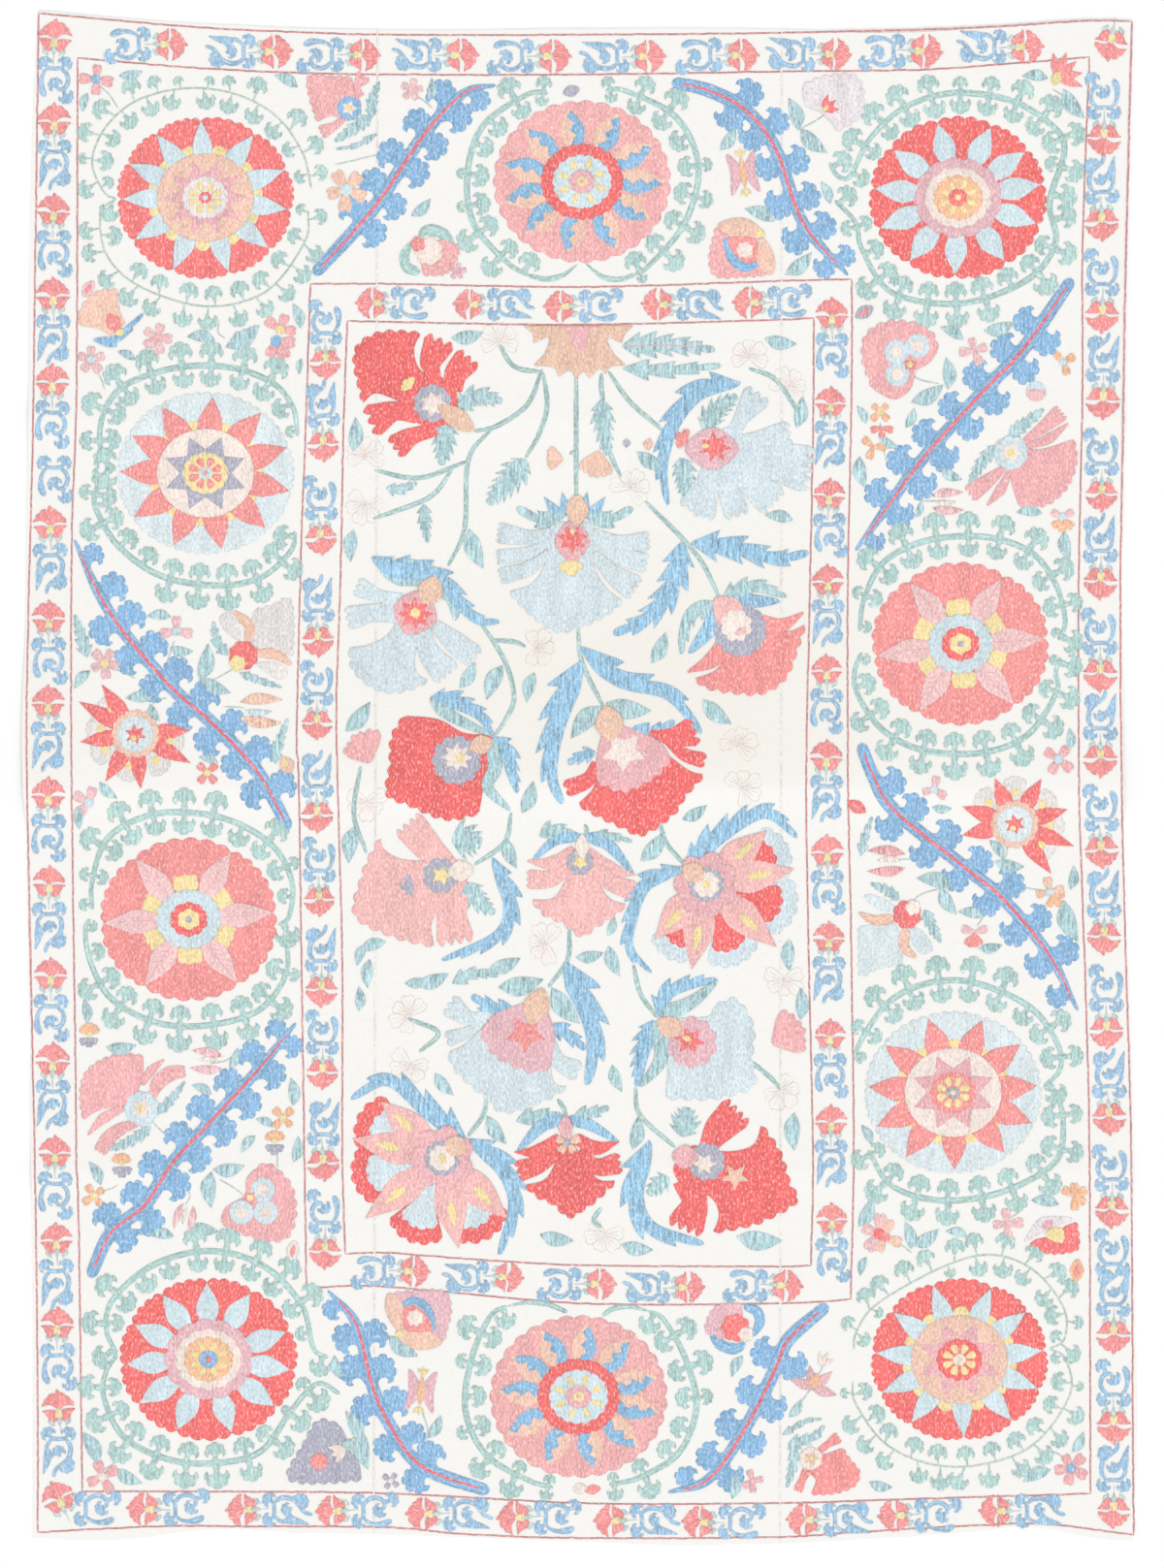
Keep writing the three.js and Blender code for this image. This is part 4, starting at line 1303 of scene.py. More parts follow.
# Four carnations in profile, at the top, right, left and bottom.
flounce(((372, 105), (366, 95)), ((363, 80), (340, 79), (318, 79), (319, 100), (327, 126)),
        ((340, 120), (352, 122)), 11, FLOWER_ROSE)
ribbons(FLOWER_ROSE, ((((372, 100), (368, 90), (374, 80)), (8, 6, 16), 3),
                      (((355, 122), (345, 130), (333, 136)), (6, 8, 14), 3)))
heart((360, 112), 13, 9, BRIGHT_BLUE, 5, CREAM, YELLOW)
flounce(((1056, 462), (1075, 463)), ((1107, 453), (1110, 475), (1100, 503), (1078, 521), (1050, 522)),
        ((1043, 500), (1040, 486)), 11, FLOWER_ROSE)
ribbons(FLOWER_ROSE, ((((1056, 455), (1075, 441), (1092, 427)), (6, 12, 18), 4),
                      (((1058, 460), (1080, 453), (1101, 437)), (6, 11, 2), 1),
                      (((1036, 482), (1017, 497), (1002, 508)), (6, 14, 19), 3),
                      (((1040, 487), (1032, 504), (1018, 521)), (5, 11, 2), 1)))
heart((1042, 467), 18, 9, SKY, 5, CREAM, YELLOW)
flounce(((140, 1130), (147, 1112)),
        ((148, 1089), (131, 1087), (112, 1090), (93, 1101), (84, 1117), (83, 1138), (86, 1155)),
        ((102, 1145), (128, 1140)), 13, FLOWER_ROSE)
ribbons(FLOWER_ROSE, ((((146, 1118), (156, 1104), (169, 1093)), (6, 10, 2), 1),
                      (((156, 1134), (163, 1117), (176, 1107), (189, 1105)), (6, 14, 16, 12), 3),
                      (((128, 1142), (106, 1154), (91, 1170)), (6, 11, 2), 1),
                      (((143, 1158), (125, 1164), (112, 1174), (104, 1186)), (6, 12, 15, 14), 3)))
heart((146, 1143), 18, 9, SKY, 5, CREAM, YELLOW)
flounce(((842, 1500), (852, 1499)),
        ((868, 1493), (877, 1506), (886, 1518), (881, 1532), (860, 1540), (836, 1541)),
        ((841, 1526), (832, 1518)), 11, SOFT_CORAL)
ribbons(SOFT_CORAL, ((((845, 1496), (854, 1489), (863, 1483)), (7, 7, 12), 3),
                     (((832, 1516), (827, 1526), (823, 1536)), (10, 7, 10), 3)))
heart((836, 1504), 12, 6, CREAM, 5, PEACH, YELLOW)
# Two broad flowers in lilac, at the top and the bottom.
flounce(((846, 116), (830, 108)), ((827, 88), (850, 79), (880, 78), (890, 95), (887, 120), (862, 136)),
        ((858, 128),), 13, PALE_LILAC)
spiky((849, 114), 50, 3, 70, 18, CORAL, 2, 0.4)
oval((851, 112), 50, 9, 5, YELLOW, 3)
flounce(((352, 1492), (357, 1483)),
        ((350, 1469), (328, 1465), (311, 1492), (296, 1521), (310, 1529), (340, 1529), (373, 1526)),
        ((370, 1508), (360, 1495)), 15, LILAC)
oval((329, 1507), 90, 20, 18, SOFT_CORAL, 3)
spiky((356, 1494), 245, 3, 60, 19, CREAM, 3, 0.4)
oval((359, 1490), 0, 12, 13, TEAL, 3)
# A peach fan at the left, a coral spray in the upper right corner and a coral bell below.
fan((122, 340), 318, 10, 46, 84, 7, PEACH)
saz(((96, 351), (118, 351), (133, 338), (148, 323)), 13, 3, BRIGHT_BLUE, 2, (1, 0))
oval((117, 333), 330, 22, 16, SOFT_CORAL, 2)
oval((124, 343), 60, 10, 8, YELLOW, 3)
spiky((1090, 80), 50, 5, 120, 28, SOFT_CORAL, 1, 0.34)
oval((1089, 81), 20, 15, 11, YELLOW, 2)
flounce(((1078, 1276), (1068, 1278)), ((1061, 1283), (1078, 1292), (1098, 1292), (1112, 1286), (1110, 1260)),
        ((1096, 1266), (1094, 1278)), 10, CORAL)
soft_petal(((1056, 1281), (1062, 1268), (1072, 1256), (1090, 1254), (1107, 1257), (1092, 1263),
            (1076, 1270)), PALE_LILAC)
oval((1080, 1263), 60, 14, 9, MAUVE, 2)
soft_petal(((1077, 1273), (1086, 1266), (1096, 1268), (1096, 1281), (1084, 1279)), YELLOW, 2)
# Flowers seen from the side, beside the top and bottom rosettes.
poppy((442, 259), 180, ROSE, TEAL, CREAM, SOFT_CORAL)
poppy((758, 1369), 0, DUSK_MAUVE, BRIGHT_BLUE, CORAL, CREAM)
mallow((769, 261), 180, ROSE)
mallow((427, 1356), 0, DUSK_MAUVE)
# Two red stars, at the left and the right.
star_bloom((140, 757), ((-122, 66), (-148, 69), (171, 58), (120, 62), (85, 62), (30, 66), (-4, 56)),
           (-135, 188, 150, 100, 55, 12))
star_bloom((1046, 850), ((-160, 58), (-112, 56), (-62, 58), (-17, 57), (22, 66), (56, 68), (167, 56)),
           (-138, -90, -38, 3, 40))
# Two rose petals with three sky lobes each.
flounce(((944, 382), (958, 374)),
        ((967, 362), (962, 345), (945, 334), (915, 332), (893, 345), (889, 370), (900, 402)),
        ((922, 412), (938, 402), (943, 388)), 13, FLOWER_ROSE)
heart_flower(60, ((924, 363), (946, 357), (925, 386)), (938, 376))
flounce(((254, 1232), (254, 1216)),
        ((264, 1204), (279, 1201), (300, 1222), (305, 1250), (297, 1275), (275, 1280), (247, 1271)),
        ((229, 1262), (232, 1246), (248, 1236)), 13, FLOWER_ROSE)
heart_flower(-60, ((271, 1227), (249, 1250), (274, 1250)), (258, 1235))
# Two butterflies, and pansies at the left.
butterfly((766, 178), -8)
butterfly((434, 1434), 6)
pansy((92, 1066), 0, BUD_ORANGE, LILAC)
pansy((283, 1176), 0, BUD_ORANGE, LILAC)
pansy((126, 1199), 0, BUD_ORANGE, LILAC)
# Two flowers with rolled peach petals, at the left and the right.
flounce(((258, 664), (258, 646)), ((262, 629), (280, 624), (298, 617), (303, 640), (302, 677)),
        ((285, 672), (268, 670)), 11, PEARL, 0)
soft_petal(((247, 660), (232, 651), (226, 637), (238, 631), (247, 642)), PEARL)
soft_petal(((264, 684), (284, 683), (297, 692), (290, 701), (278, 696)), PEARL)
couch(smooth(((255, 663), (257, 646), (241, 630))), (8, 12, 10, 3), PEACH, layer=1)
couch(smooth(((264, 673), (285, 675), (301, 686))), (8, 12, 10, 3), PEACH, layer=1)
button((251, 676), 15.5, 8, 2, CORAL, 2)
button((245, 684), 8.5, 5, 1.5, YELLOW, 3)
flounce(((921, 950), (902, 953)), ((885, 955), (885, 980), (887, 1006), (905, 999), (931, 994)),
        ((930, 975), (926, 958)), 11, PALE_SKY, 0)
soft_petal(((938, 957), (951, 960), (962, 978), (951, 984), (941, 974)), PALE_SKY)
soft_petal(((924, 938), (908, 939), (891, 926), (897, 922), (915, 929)), PALE_SKY)
couch(smooth(((922, 947), (902, 949), (885, 941))), (10, 12, 9, 3), PEACH, layer=1)
couch(smooth(((934, 957), (932, 976), (945, 988))), (8, 12, 10, 3), PEACH, layer=1)
button((935, 943), 15, 8, 2, CORAL, 2)
button((941, 936), 8, 5, 1.5, CREAM, 3)
# Small buds.
fan((1068, 402), 180, 10, 12, 150, 5, FLOWER_PINK)
fan((1068, 405), 0, 8, 12, 140, 4, SKY, 0)
spiky((838, 1432), 20, 4, 170, 26, DUSK_MAUVE, 1, 0.4)
oval((840, 1424), 20, 16, 12, BUD_ORANGE, 2)
spiky((846, 1408), 30, 3, 70, 16, CREAM, 1, 0.3)
oval((589, 94), 75, 18, 12, LILAC, 1)
oval((598, 1535), 80, 15, 12, CREAM, 1)
oval((611, 1536), 80, 17, 10, SOFT_CORAL, 1)
gather("border_flowers")

# The field inside the inner border is filled with one winding plant.
# It has teal stems, saw-edged leaves in streaky blue and teal, and large flowers in profile.
# Stems come first, then leaves, and the flowers are sewn over them.
FIELD_RED = dyed(247, 118, 117)
FIELD_ROSE = dyed(248, 194, 191)
FIELD_SKY = dyed(217, 232, 238)
SAZ_BLUE = dyed(160, 203, 231)
STEM_TEAL = dyed(180, 210, 208)
FIELD_STEMS = (
    ((594, 384), (594, 450), (594, 515)), ((559, 381), (544, 417), (513, 439), (489, 445)),
    ((560, 384), (564, 419), (556, 447), (542, 472)), ((508, 441), (483, 474), (479, 545), (462, 584)),
    ((481, 476), (432, 493), (386, 485)), ((466, 484), (450, 507), (430, 519), (385, 535)),
    ((620, 385), (620, 400), (622, 415)), ((627, 383), (650, 415), (686, 446)),
    ((515, 356), (530, 378), (558, 384)), ((665, 517), (704, 556), (726, 584), (742, 618)),
    ((494, 640), (520, 681), (530, 719), (520, 744), (507, 762)), ((596, 649), (600, 683), (622, 729)),
    ((527, 838), (520, 869), (489, 892)), ((680, 845), (686, 868), (706, 892)),
    ((587, 958), (585, 990), (565, 1018)), ((653, 995), (660, 1024), (677, 1049)),
    ((655, 1121), (660, 1150), (696, 1183)), ((502, 1128), (498, 1150), (482, 1172)),
    ((575, 1133), (582, 1145), (583, 1155)), ((603, 850), (605, 858), (602, 862)),
    ((613, 420), (630, 470), (640, 492)), ((587, 468), (594, 465), (594, 460)),
    ((508, 660), (530, 662), (542, 667)), ((378, 880), (365, 840), (372, 790)),
    ((826, 430), (800, 392), (772, 380)), ((420, 1050), (452, 1065), (432, 1085)),
    ((775, 1095), (795, 1112), (805, 1124)), ((620, 1245), (612, 1258), (620, 1266)),
)
BLUE_SAZ = (
    (((764, 395), (722, 402), (694, 436), (683, 480), (689, 521)), 24, 6, (1, 0)),
    (((704, 558), (693, 604), (668, 637), (632, 654)), 27, 6, (1, 1)),
    (((712, 560), (760, 566), (800, 576), (834, 570)), 24, 5, (1, 1)),
    (((599, 667), (640, 700), (690, 716), (723, 757)), 24, 4, (0, 1)),
    (((599, 682), (582, 719), (570, 760), (568, 800), (581, 829)), 30, 5, (1, 0)),
    (((508, 884), (526, 930), (514, 965), (455, 990)), 20, 7, (0, 1)),
    (((706, 893), (740, 862), (788, 838), (822, 864)), 24, 7, (0, 1)),
    (((706, 894), (665, 912), (650, 953), (650, 980), (672, 1003)), 19, 7, (1, 0)),
    (((583, 992), (604, 1036), (613, 1075), (604, 1119)), 30, 4, (0, 1)),
    (((480, 1174), (440, 1143), (400, 1114), (362, 1134)), 24, 5, (1, 0)),
    (((482, 1174), (516, 1200), (531, 1240), (514, 1294)), 24, 6, (0, 1)),
    (((670, 1176), (654, 1227), (670, 1266), (726, 1282)), 26, 5, (1, 0)),
)
TEAL_SAZ = (
    (((641, 357), (690, 356), (737, 361)), 28, 6), (((642, 380), (690, 382), (744, 377)), 20, 4),
    (((472, 421), (492, 409), (518, 414)), 26, 5), (((458, 436), (458, 458), (455, 480)), 28, 5),
    (((543, 474), (528, 492), (503, 520)), 36, 7), (((620, 412), (622, 440), (626, 470)), 26, 6),
    (((725, 444), (738, 424), (760, 408)), 30, 6), (((702, 472), (706, 492), (706, 512)), 28, 6),
    (((437, 520), (438, 538), (441, 560)), 16, 5), (((398, 503), (412, 505), (430, 498)), 14, 4),
    (((466, 866), (480, 866), (496, 870)), 40, 4), (((480, 910), (492, 928), (510, 942)), 26, 5),
    (((466, 1014), (488, 1004), (514, 1006)), 16, 4), (((556, 862), (572, 856), (592, 860)), 20, 3),
    (((612, 860), (630, 862), (652, 868)), 12, 3), (((532, 1156), (556, 1150), (580, 1150)), 18, 3),
    (((592, 1150), (608, 1148), (628, 1142)), 18, 3), (((702, 1172), (706, 1158), (708, 1142)), 34, 5),
    (((690, 1215), (678, 1222), (668, 1232)), 26, 4),
)
LONE_LEAVES = (
    (482, 346, 80, 34), (491, 566, 160, 44), (805, 352, 100, 34), (824, 425, 10, 34), (803, 534, 280, 30),
    (365, 448, 5, 36), (363, 563, 185, 34), (369, 739, 40, 40), (510, 704, 205, 40), (547, 709, 195, 32),
    (482, 696, 30, 32), (679, 668, 25, 36), (739, 734, 130, 40), (363, 871, 190, 40), (384, 976, 250, 30),
    (380, 1004, 185, 30), (446, 1010, 70, 36), (370, 1030, 0, 26), (814, 985, 180, 34), (825, 1035, 0, 34),
    (819, 1167, 180, 40), (574, 1276, 100, 36), (657, 1286, 100, 34), (783, 1277, 95, 48),
    (672, 475, 120, 36), (605, 745, 225, 48), (648, 729, 100, 48), (544, 822, 20, 36), (527, 880, 160, 34),
    (673, 873, 40, 40), (633, 991, 160, 34), (608, 985, 80, 30), (630, 955, 20, 22), (520, 994, 70, 36),
    (583, 1037, 142, 48), (636, 1112, 160, 30), (458, 1118, 140, 30), (512, 1165, 145, 36),
    (655, 1168, 10, 36), (430, 1012, 80, 26), (537, 1014, 80, 48), (372, 985, 200, 24), (716, 838, 60, 30),
)
FAINT_FLOWERS = (
    (515, 352, 0), (772, 368, 0), (650, 503, 30), (553, 668, 90), (765, 813, 60), (563, 973, 280),
    (422, 1046, 300), (423, 1098, 200), (808, 1010, 180), (805, 1124, 140), (623, 1272, 200), (376, 470, 0),
    (376, 520, 200), (813, 399, 30), (760, 768, 20), (378, 826, 180),
)
FAINT_PINK = dyed(250, 234, 227)


def faint_flower(at, turn):
    """A flower that is only outlined, in the palest pink: five notched petals with a few lines along each."""
    for lean in np.linspace(-110, 110, 5):
        length = 20 * rng.uniform(0.85, 1.1)
        edge = round_petal(length, 0.7 * length)
        couch(laid(np.vstack([edge, edge[:1]]), at, turn + lean), 0.8, FAINT_PINK)
        for side in (-0.12, 0.12):
            couch(laid(((0, -3), (side * length * 0.6, -0.5 * length), (side * length, -0.8 * length)), at,
                       turn + lean), 0.7, FAINT_PINK)


for stem in FIELD_STEMS:
    couch(smooth(stem), (3.4, 5, 5, 5, 3.4), STEM_TEAL, layer=0, streak=1.1)
for spine, width, teeth, sides in BLUE_SAZ:
    saz(spine, width * 1.25, teeth, SAZ_BLUE, 1, sides)
for spine, width, teeth in TEAL_SAZ:
    saz(spine, width, teeth, LEAF_TEAL, 1)
couch(smooth(((645, 357), (690, 356), (722, 359))), 1.4, MAUVE, layer=2)
for across, down, turn, length in LONE_LEAVES:
    leaf((across, down), turn, length, bow=0.06)
for across, down, turn in FAINT_FLOWERS:
    faint_flower((across, down), turn)
gather("field_stems_and_leaves")

# The field's flowers: carnations in reds, rose and sky blue, two stars, and half a rosette at the top line.
# A carnation has a broad scalloped flounce, ribbons beside it, a round with a star, and a bulb at its foot.
# Blue and teal leaves clasp the bulb. Each flower is sewn from its ribbons up to its star.
BULB = dyed(241, 203, 180)


def crest(spine, width, teeth, sides, thread=SAZ_BLUE, layer=1):
    """A leaf that clasps a flower's foot."""
    saz(spine, width, teeth, thread, layer, sides)


def star_flower(at, tips, rows, near, far, bulb):
    """Five long petals with yellow inlays round a ringed middle, and two rows of scallops between them."""
    for spot in rows:
        length, turn = facing(at, spot)
        fan(around(at, 24, turn - 90), turn, 5, length - 22, 56, 5, far, 0)
        fan(around(at, 24, turn - 90), turn, 4, length - 38, 48, 4, near, 1)
    for tip in tips:
        length, turn = facing(at, tip)
        foot = np.array(at) + 0.2 * (np.array(tip) - at)
        fill(petal(0.8 * length, 18, 33, 0.42), FIELD_ROSE, at=foot, turn=turn, layer=2)
        inlay = np.array(at) + 0.48 * (np.array(tip) - at)
        fill(petal(28, 4, 9, 0.4), YELLOW, at=inlay, turn=turn, layer=3)
    button(at, 34, 7, 7, MAUVE, 4)
    button(at, 19, 11, 2.5, LILAC, 5)
    button(at, 14, 8, 2, CREAM, 6)
    button(at, 4, 1, 0, YELLOW, 7)
    oval(bulb, 120, 25, 22, BULB, 7)


# The red carnation at the upper left.
oval((446, 414), 135, 62, 56, FIELD_RED, 1)
flounce(((451, 397), (432, 380), (427, 360)),
        ((434, 344), (415, 342), (392, 343), (371, 354), (365, 373), (374, 416)),
        ((386, 406), (402, 410), (428, 422)), 10, FIELD_RED)
ribbons(FIELD_RED, (
    (((452, 396), (444, 376), (452, 355)), (8, 22, 32), 3),
    (((468, 404), (470, 386), (481, 372)), (16, 24, 28), 3),
    (((430, 428), (408, 424), (386, 433)), (18, 20, 34), 3),
    (((452, 442), (425, 450), (410, 460)), (14, 16, 26), 3)))
oval((470, 431), 125, 46, 21, BULB, 4)
button((446, 416), 20, 10, 2, LILAC, 2)
star((447, 417), 7, 15, 9, CREAM, 3, 0)
sprig((424, 400), 315, 3, 90, 11, YELLOW, None, 3)
# The sky-blue spiky flower at the upper right.
oval((752, 466), 0, 52, 50, FIELD_SKY, 1)
ribbons(FIELD_SKY, (
    (((752, 456), (764, 432), (779, 410)), (14, 15, 30), 3),
    (((756, 460), (784, 453), (810, 448)), (18, 18, 27), 3),
    (((752, 470), (790, 474), (828, 483)), (26, 36, 48), 5),
    (((750, 474), (772, 495), (794, 515)), (22, 28, 34), 4),
    (((744, 476), (751, 505), (759, 528)), (20, 22, 26), 3),
    (((738, 474), (732, 505), (726, 530)), (16, 17, 23), 3),
    (((734, 474), (722, 500), (709, 521)), (12, 13, 18), 2)))
oval((734, 463), 90, 56, 44, DUSK_MAUVE, 3)
star((737, 461), 7, 18, 9, CORAL, 4, 5)
oval((727, 460), 90, 9, 6, YELLOW, 5)
sprig((708, 455), 300, 3, 110, 13, SOFT_CORAL, None, 3)
# The sky-blue carnation that hangs in the middle.
for side in (-1, 1):
    for foot, tip, width in (((8, 6), (13, -19), 11), ((14, 10), (32, -14), 12)):
        length, turn = facing((side * foot[0], foot[1]), (side * tip[0], tip[1]))
        fill(petal(length, 8, width, 0.35), SAZ_BLUE, at=(592.5 + side * foot[0], 526 + foot[1]), turn=turn,
             layer=1, streak=1.4)
    crest(tuple((592.5 + side * across, down) for across, down in ((10, 530), (34, 536), (60, 524))), 20, 2,
          (1, 1), LEAF_TEAL)
ribbons(FIELD_SKY, (
    (((570, 550), (545, 554), (517, 550)), (12, 15, 22), 4),
    (((568, 558), (545, 570), (515, 575)), (8, 13, 16), 3),
    (((566, 570), (545, 586), (518, 594)), (8, 15, 17), 3),
    (((610, 550), (638, 560), (666, 558)), (12, 16, 19), 3),
    (((611, 558), (640, 574), (663, 580)), (8, 16, 21), 3),
    (((611, 570), (632, 592), (651, 605)), (8, 18, 27), 4)))
flounce(((568, 538), (562, 580), (548, 602)),
        ((525, 610), (546, 633), (574, 651), (597, 647), (625, 634), (642, 620)),
        ((624, 605), (612, 580), (612, 538)), 12, FIELD_SKY)
oval((590, 558), 0, 44, 37, MAUVE, 3)
star((590, 556), 7, 16, 9, CORAL, 4, 90)
oval((590, 548), 0, 7, 6, YELLOW, 5)
oval((595, 526), 0, 31, 24, BULB, 4)
sprig((589, 577), 180, 3, 90, 16, YELLOW, None, 3)
# The sky-blue carnation at the left.
ribbons(FIELD_SKY, (
    (((414, 620), (390, 614), (371, 606)), (16, 12, 20), 3),
    (((412, 632), (385, 632), (362, 637)), (22, 18, 24), 3),
    (((437, 646), (442, 672), (458, 692)), (12, 22, 30), 4),
    (((448, 644), (466, 660), (487, 676)), (12, 22, 24), 3)))
flounce(((410, 640), (398, 656), (380, 665)),
        ((360, 668), (364, 690), (381, 707), (402, 714), (425, 710), (442, 702)),
        ((430, 694), (428, 676), (438, 648)), 9, FIELD_SKY)
crest(((392, 588), (440, 594), (466, 616), (470, 640)), 44, 1, (0, 0), LEAF_TEAL)
crest(((383, 574), (404, 586), (435, 590), (458, 600), (474, 622), (494, 640), (515, 642)), 30, 8, (0, 1),
      SAZ_BLUE, 2)
oval((428, 632), 20, 48, 46, MAUVE, 3)
star((428, 633), 8, 19, 11, CORAL, 4, 90)
button((428, 632), 5.5, 6, 1, YELLOW, 5)
oval((444, 609), 20, 31, 27, BULB, 4)
# The coral carnation at the right.
ribbons(SOFT_CORAL,
        ((((750, 664), (732, 682), (709, 693)), (22, 16, 2), 1),
         (((784, 644), (806, 645), (828, 632)), (20, 14, 2), 1)))
flounce(((752, 672), (738, 691)),
        ((716, 700), (731, 710), (776, 716), (797, 710), (812, 696), (822, 669), (830, 644)),
        ((814, 651), (788, 650), (770, 645)), 12, SOFT_CORAL)
crest(((739, 622), (714, 632), (704, 655), (702, 675)), 22, 4, (0, 1), LEAF_TEAL)
crest(((741, 621), (733, 646), (710, 674)), 30, 1, (0, 0))
crest(((744, 618), (776, 605), (811, 616)), 22, 5, (0, 1), LEAF_TEAL)
crest(((744, 617), (774, 620), (804, 620)), 28, 1, (0, 0))
button((763, 650), 28, 13, 3, LILAC, 2)
oval((751, 631), 135, 40, 32, FIELD_ROSE, 3)
button((759, 645), 17, 8, 3, CREAM, 4)
sprig((762, 648), 150, 5, 120, 8, BLUSH, None, 5, 0.4)
# The red carnation on the half fold at the left.
crest(((443, 720), (470, 724), (495, 738), (507, 758)), 26, 6, (0, 1))
crest(((444, 722), (468, 740), (506, 758)), 20, 1, (0, 0), LEAF_TEAL, 2)
crest(((508, 760), (522, 775), (527, 795), (533, 818)), 24, 5, (0, 1))
crest(((508, 762), (510, 792), (503, 812), (526, 836)), 24, 1, (0, 0), LEAF_TEAL, 2)
flounce(((507, 757), (479, 756), (452, 742)),
        ((417, 738), (404, 760), (402, 790), (399, 819), (421, 830), (460, 845), (494, 839)),
        ((499, 809), (505, 780)), 14, FIELD_RED)
button((471, 784), 26, 11, 3, LILAC, 2)
star((471, 781), 8, 17, 10, CREAM, 3, 0)
button((475, 781), 5, 5, 1, YELLOW, 4)
oval((496, 768), 70, 26, 20, BULB, 4)
# The red carnation on the half fold in the middle.
ribbons(FIELD_RED, (
    (((613, 786), (606, 804), (586, 813)), (6, 16, 18), 2),
    (((668, 754), (692, 760), (713, 755)), (5, 18, 30), 3),
    (((688, 765), (705, 778), (724, 784)), (7, 13, 16), 2)))
flounce(((616, 786), (612, 812)),
        ((596, 829), (611, 839), (645, 855), (662, 861), (693, 841), (706, 822), (726, 799)),
        ((711, 795), (693, 782), (672, 765)), 12, FIELD_RED)
flounce(((622, 752), (615, 780)), ((615, 806), (640, 816), (662, 809), (681, 796), (692, 782)),
        ((680, 765), (660, 755), (640, 748)), 7, MAUVE, 2)
crest(((652, 750), (672, 754), (696, 744)), 18, 3, (1, 1))
crest(((614, 776), (602, 779), (585, 787)), 18, 3, (1, 1))
star((643, 775), 5, 24, 13, CREAM, 3, 20)
oval((628, 746), 350, 37, 30, BULB, 4)
# The rose carnation at the left, below the half fold.
oval((456, 906), 0, 56, 52, FIELD_ROSE, 1)
ribbons(FIELD_ROSE, (
    (((462, 890), (442, 874), (424, 853)), (18, 30, 34), 4),
    (((468, 920), (466, 945), (469, 966)), (34, 30, 38), 4)))
flounce(((446, 888), (414, 886), (396, 876)),
        ((392, 864), (381, 884), (373, 905), (366, 944), (406, 966), (448, 976)), ((445, 952), (462, 926)),
        12, FIELD_ROSE)
button((454, 903), 19, 8, 3, LILAC, 2)
star((455, 903), 5, 12, 6, YELLOW, 3, 0)
sprig((426, 913), 265, 3, 110, 13, LILAC, None, 2)
oval((475, 898), 80, 27, 22, CREAM, 3)
# The rose carnation in the middle, under a blue roof.
crest(((600, 862), (574, 866), (549, 887)), 19, 1, (0, 0))
crest(((602, 862), (626, 870), (653, 901)), 22, 1, (0, 0))
ribbons(FIELD_ROSE, (
    (((592, 876), (570, 890), (544, 888)), (10, 15, 2), 1),
    (((590, 892), (568, 906), (547, 907)), (8, 17, 20), 3),
    (((606, 878), (628, 896), (655, 902)), (10, 17, 2), 1),
    (((608, 892), (630, 910), (651, 918)), (8, 17, 20), 3)))
flounce(((592, 886), (573, 924)),
        ((548, 928), (561, 943), (580, 952), (599, 965), (617, 954), (632, 945), (646, 933)),
        ((626, 924), (606, 886)), 9, FIELD_ROSE)
button((598, 889), 14, 8, 2, LILAC, 3)
star((598, 889), 5, 9, 5, YELLOW, 4, 90)
oval((600, 873), 0, 25, 14, CREAM, 4)
# The star at the right, rose petals between sky blue and red.
star_flower((728, 912), ((791, 856), (819, 896), (801, 977), (713, 1000), (675, 968)),
            ((812, 872), (820, 940), (760, 996), (690, 990)), FIELD_RED, FIELD_SKY, (715, 900))
# The sky-blue carnation with a mauve bell.
ribbons(FIELD_SKY, (
    (((506, 1046), (484, 1050), (466, 1038)), (8, 14, 24), 3),
    (((502, 1052), (483, 1064), (463, 1071)), (4, 11, 16), 2),
    (((570, 1074), (576, 1094), (593, 1104)), (6, 15, 22), 2)))
flounce(((505, 1052), (480, 1076)),
        ((462, 1085), (470, 1104), (500, 1131), (521, 1147), (562, 1134), (585, 1121)),
        ((570, 1113), (566, 1060)), 11, FIELD_SKY)
flounce(((540, 1034), (510, 1046)), ((494, 1064), (508, 1086), (523, 1096), (546, 1105), (568, 1102)),
        ((572, 1067), (566, 1046)), 6, DUSK_MAUVE, 2)
crest(((532, 1042), (510, 1040), (486, 1027)), 22, 3, (1, 1))
crest(((568, 1056), (584, 1066), (604, 1082)), 20, 3, (1, 1))
star((542, 1066), 5, 22, 11, SOFT_CORAL, 3, 90)
oval((553, 1038), 20, 40, 27, BULB, 4)
# The sky-blue block of a flower at the right.
flounce(((684, 1066), (688, 1102)),
        ((686, 1132), (728, 1133), (753, 1129), (777, 1118), (775, 1090), (776, 1058), (758, 1031),
         (735, 1039)), ((730, 1048), (700, 1050)), 14, FIELD_SKY)
crest(((678, 1048), (688, 1024), (715, 1014), (740, 1011)), 24, 5, (0, 1))
crest(((680, 1047), (712, 1034), (740, 1011)), 24, 1, (0, 0), LEAF_TEAL, 2)
crest(((674, 1052), (662, 1085), (657, 1121)), 28, 6, (1, 0))
crest(((677, 1053), (682, 1090), (660, 1121)), 28, 1, (0, 0), LEAF_TEAL, 2)
button((713, 1075), 27, 10, 3.5, DUSK_MAUVE, 2)
star((711, 1073), 6, 17, 8, CORAL, 3, 10)
oval((708, 1071), 110, 11, 6, YELLOW, 4)
oval((690, 1059), 120, 28, 23, BULB, 4)
# The star at the lower left, rose petals between red and sky blue.
star_flower((456, 1194), ((392, 1135), (363, 1174), (376, 1257), (473, 1288), (524, 1257)),
            ((370, 1150), (364, 1216), (424, 1282), (504, 1278)), FIELD_SKY, FIELD_RED, (470, 1182))
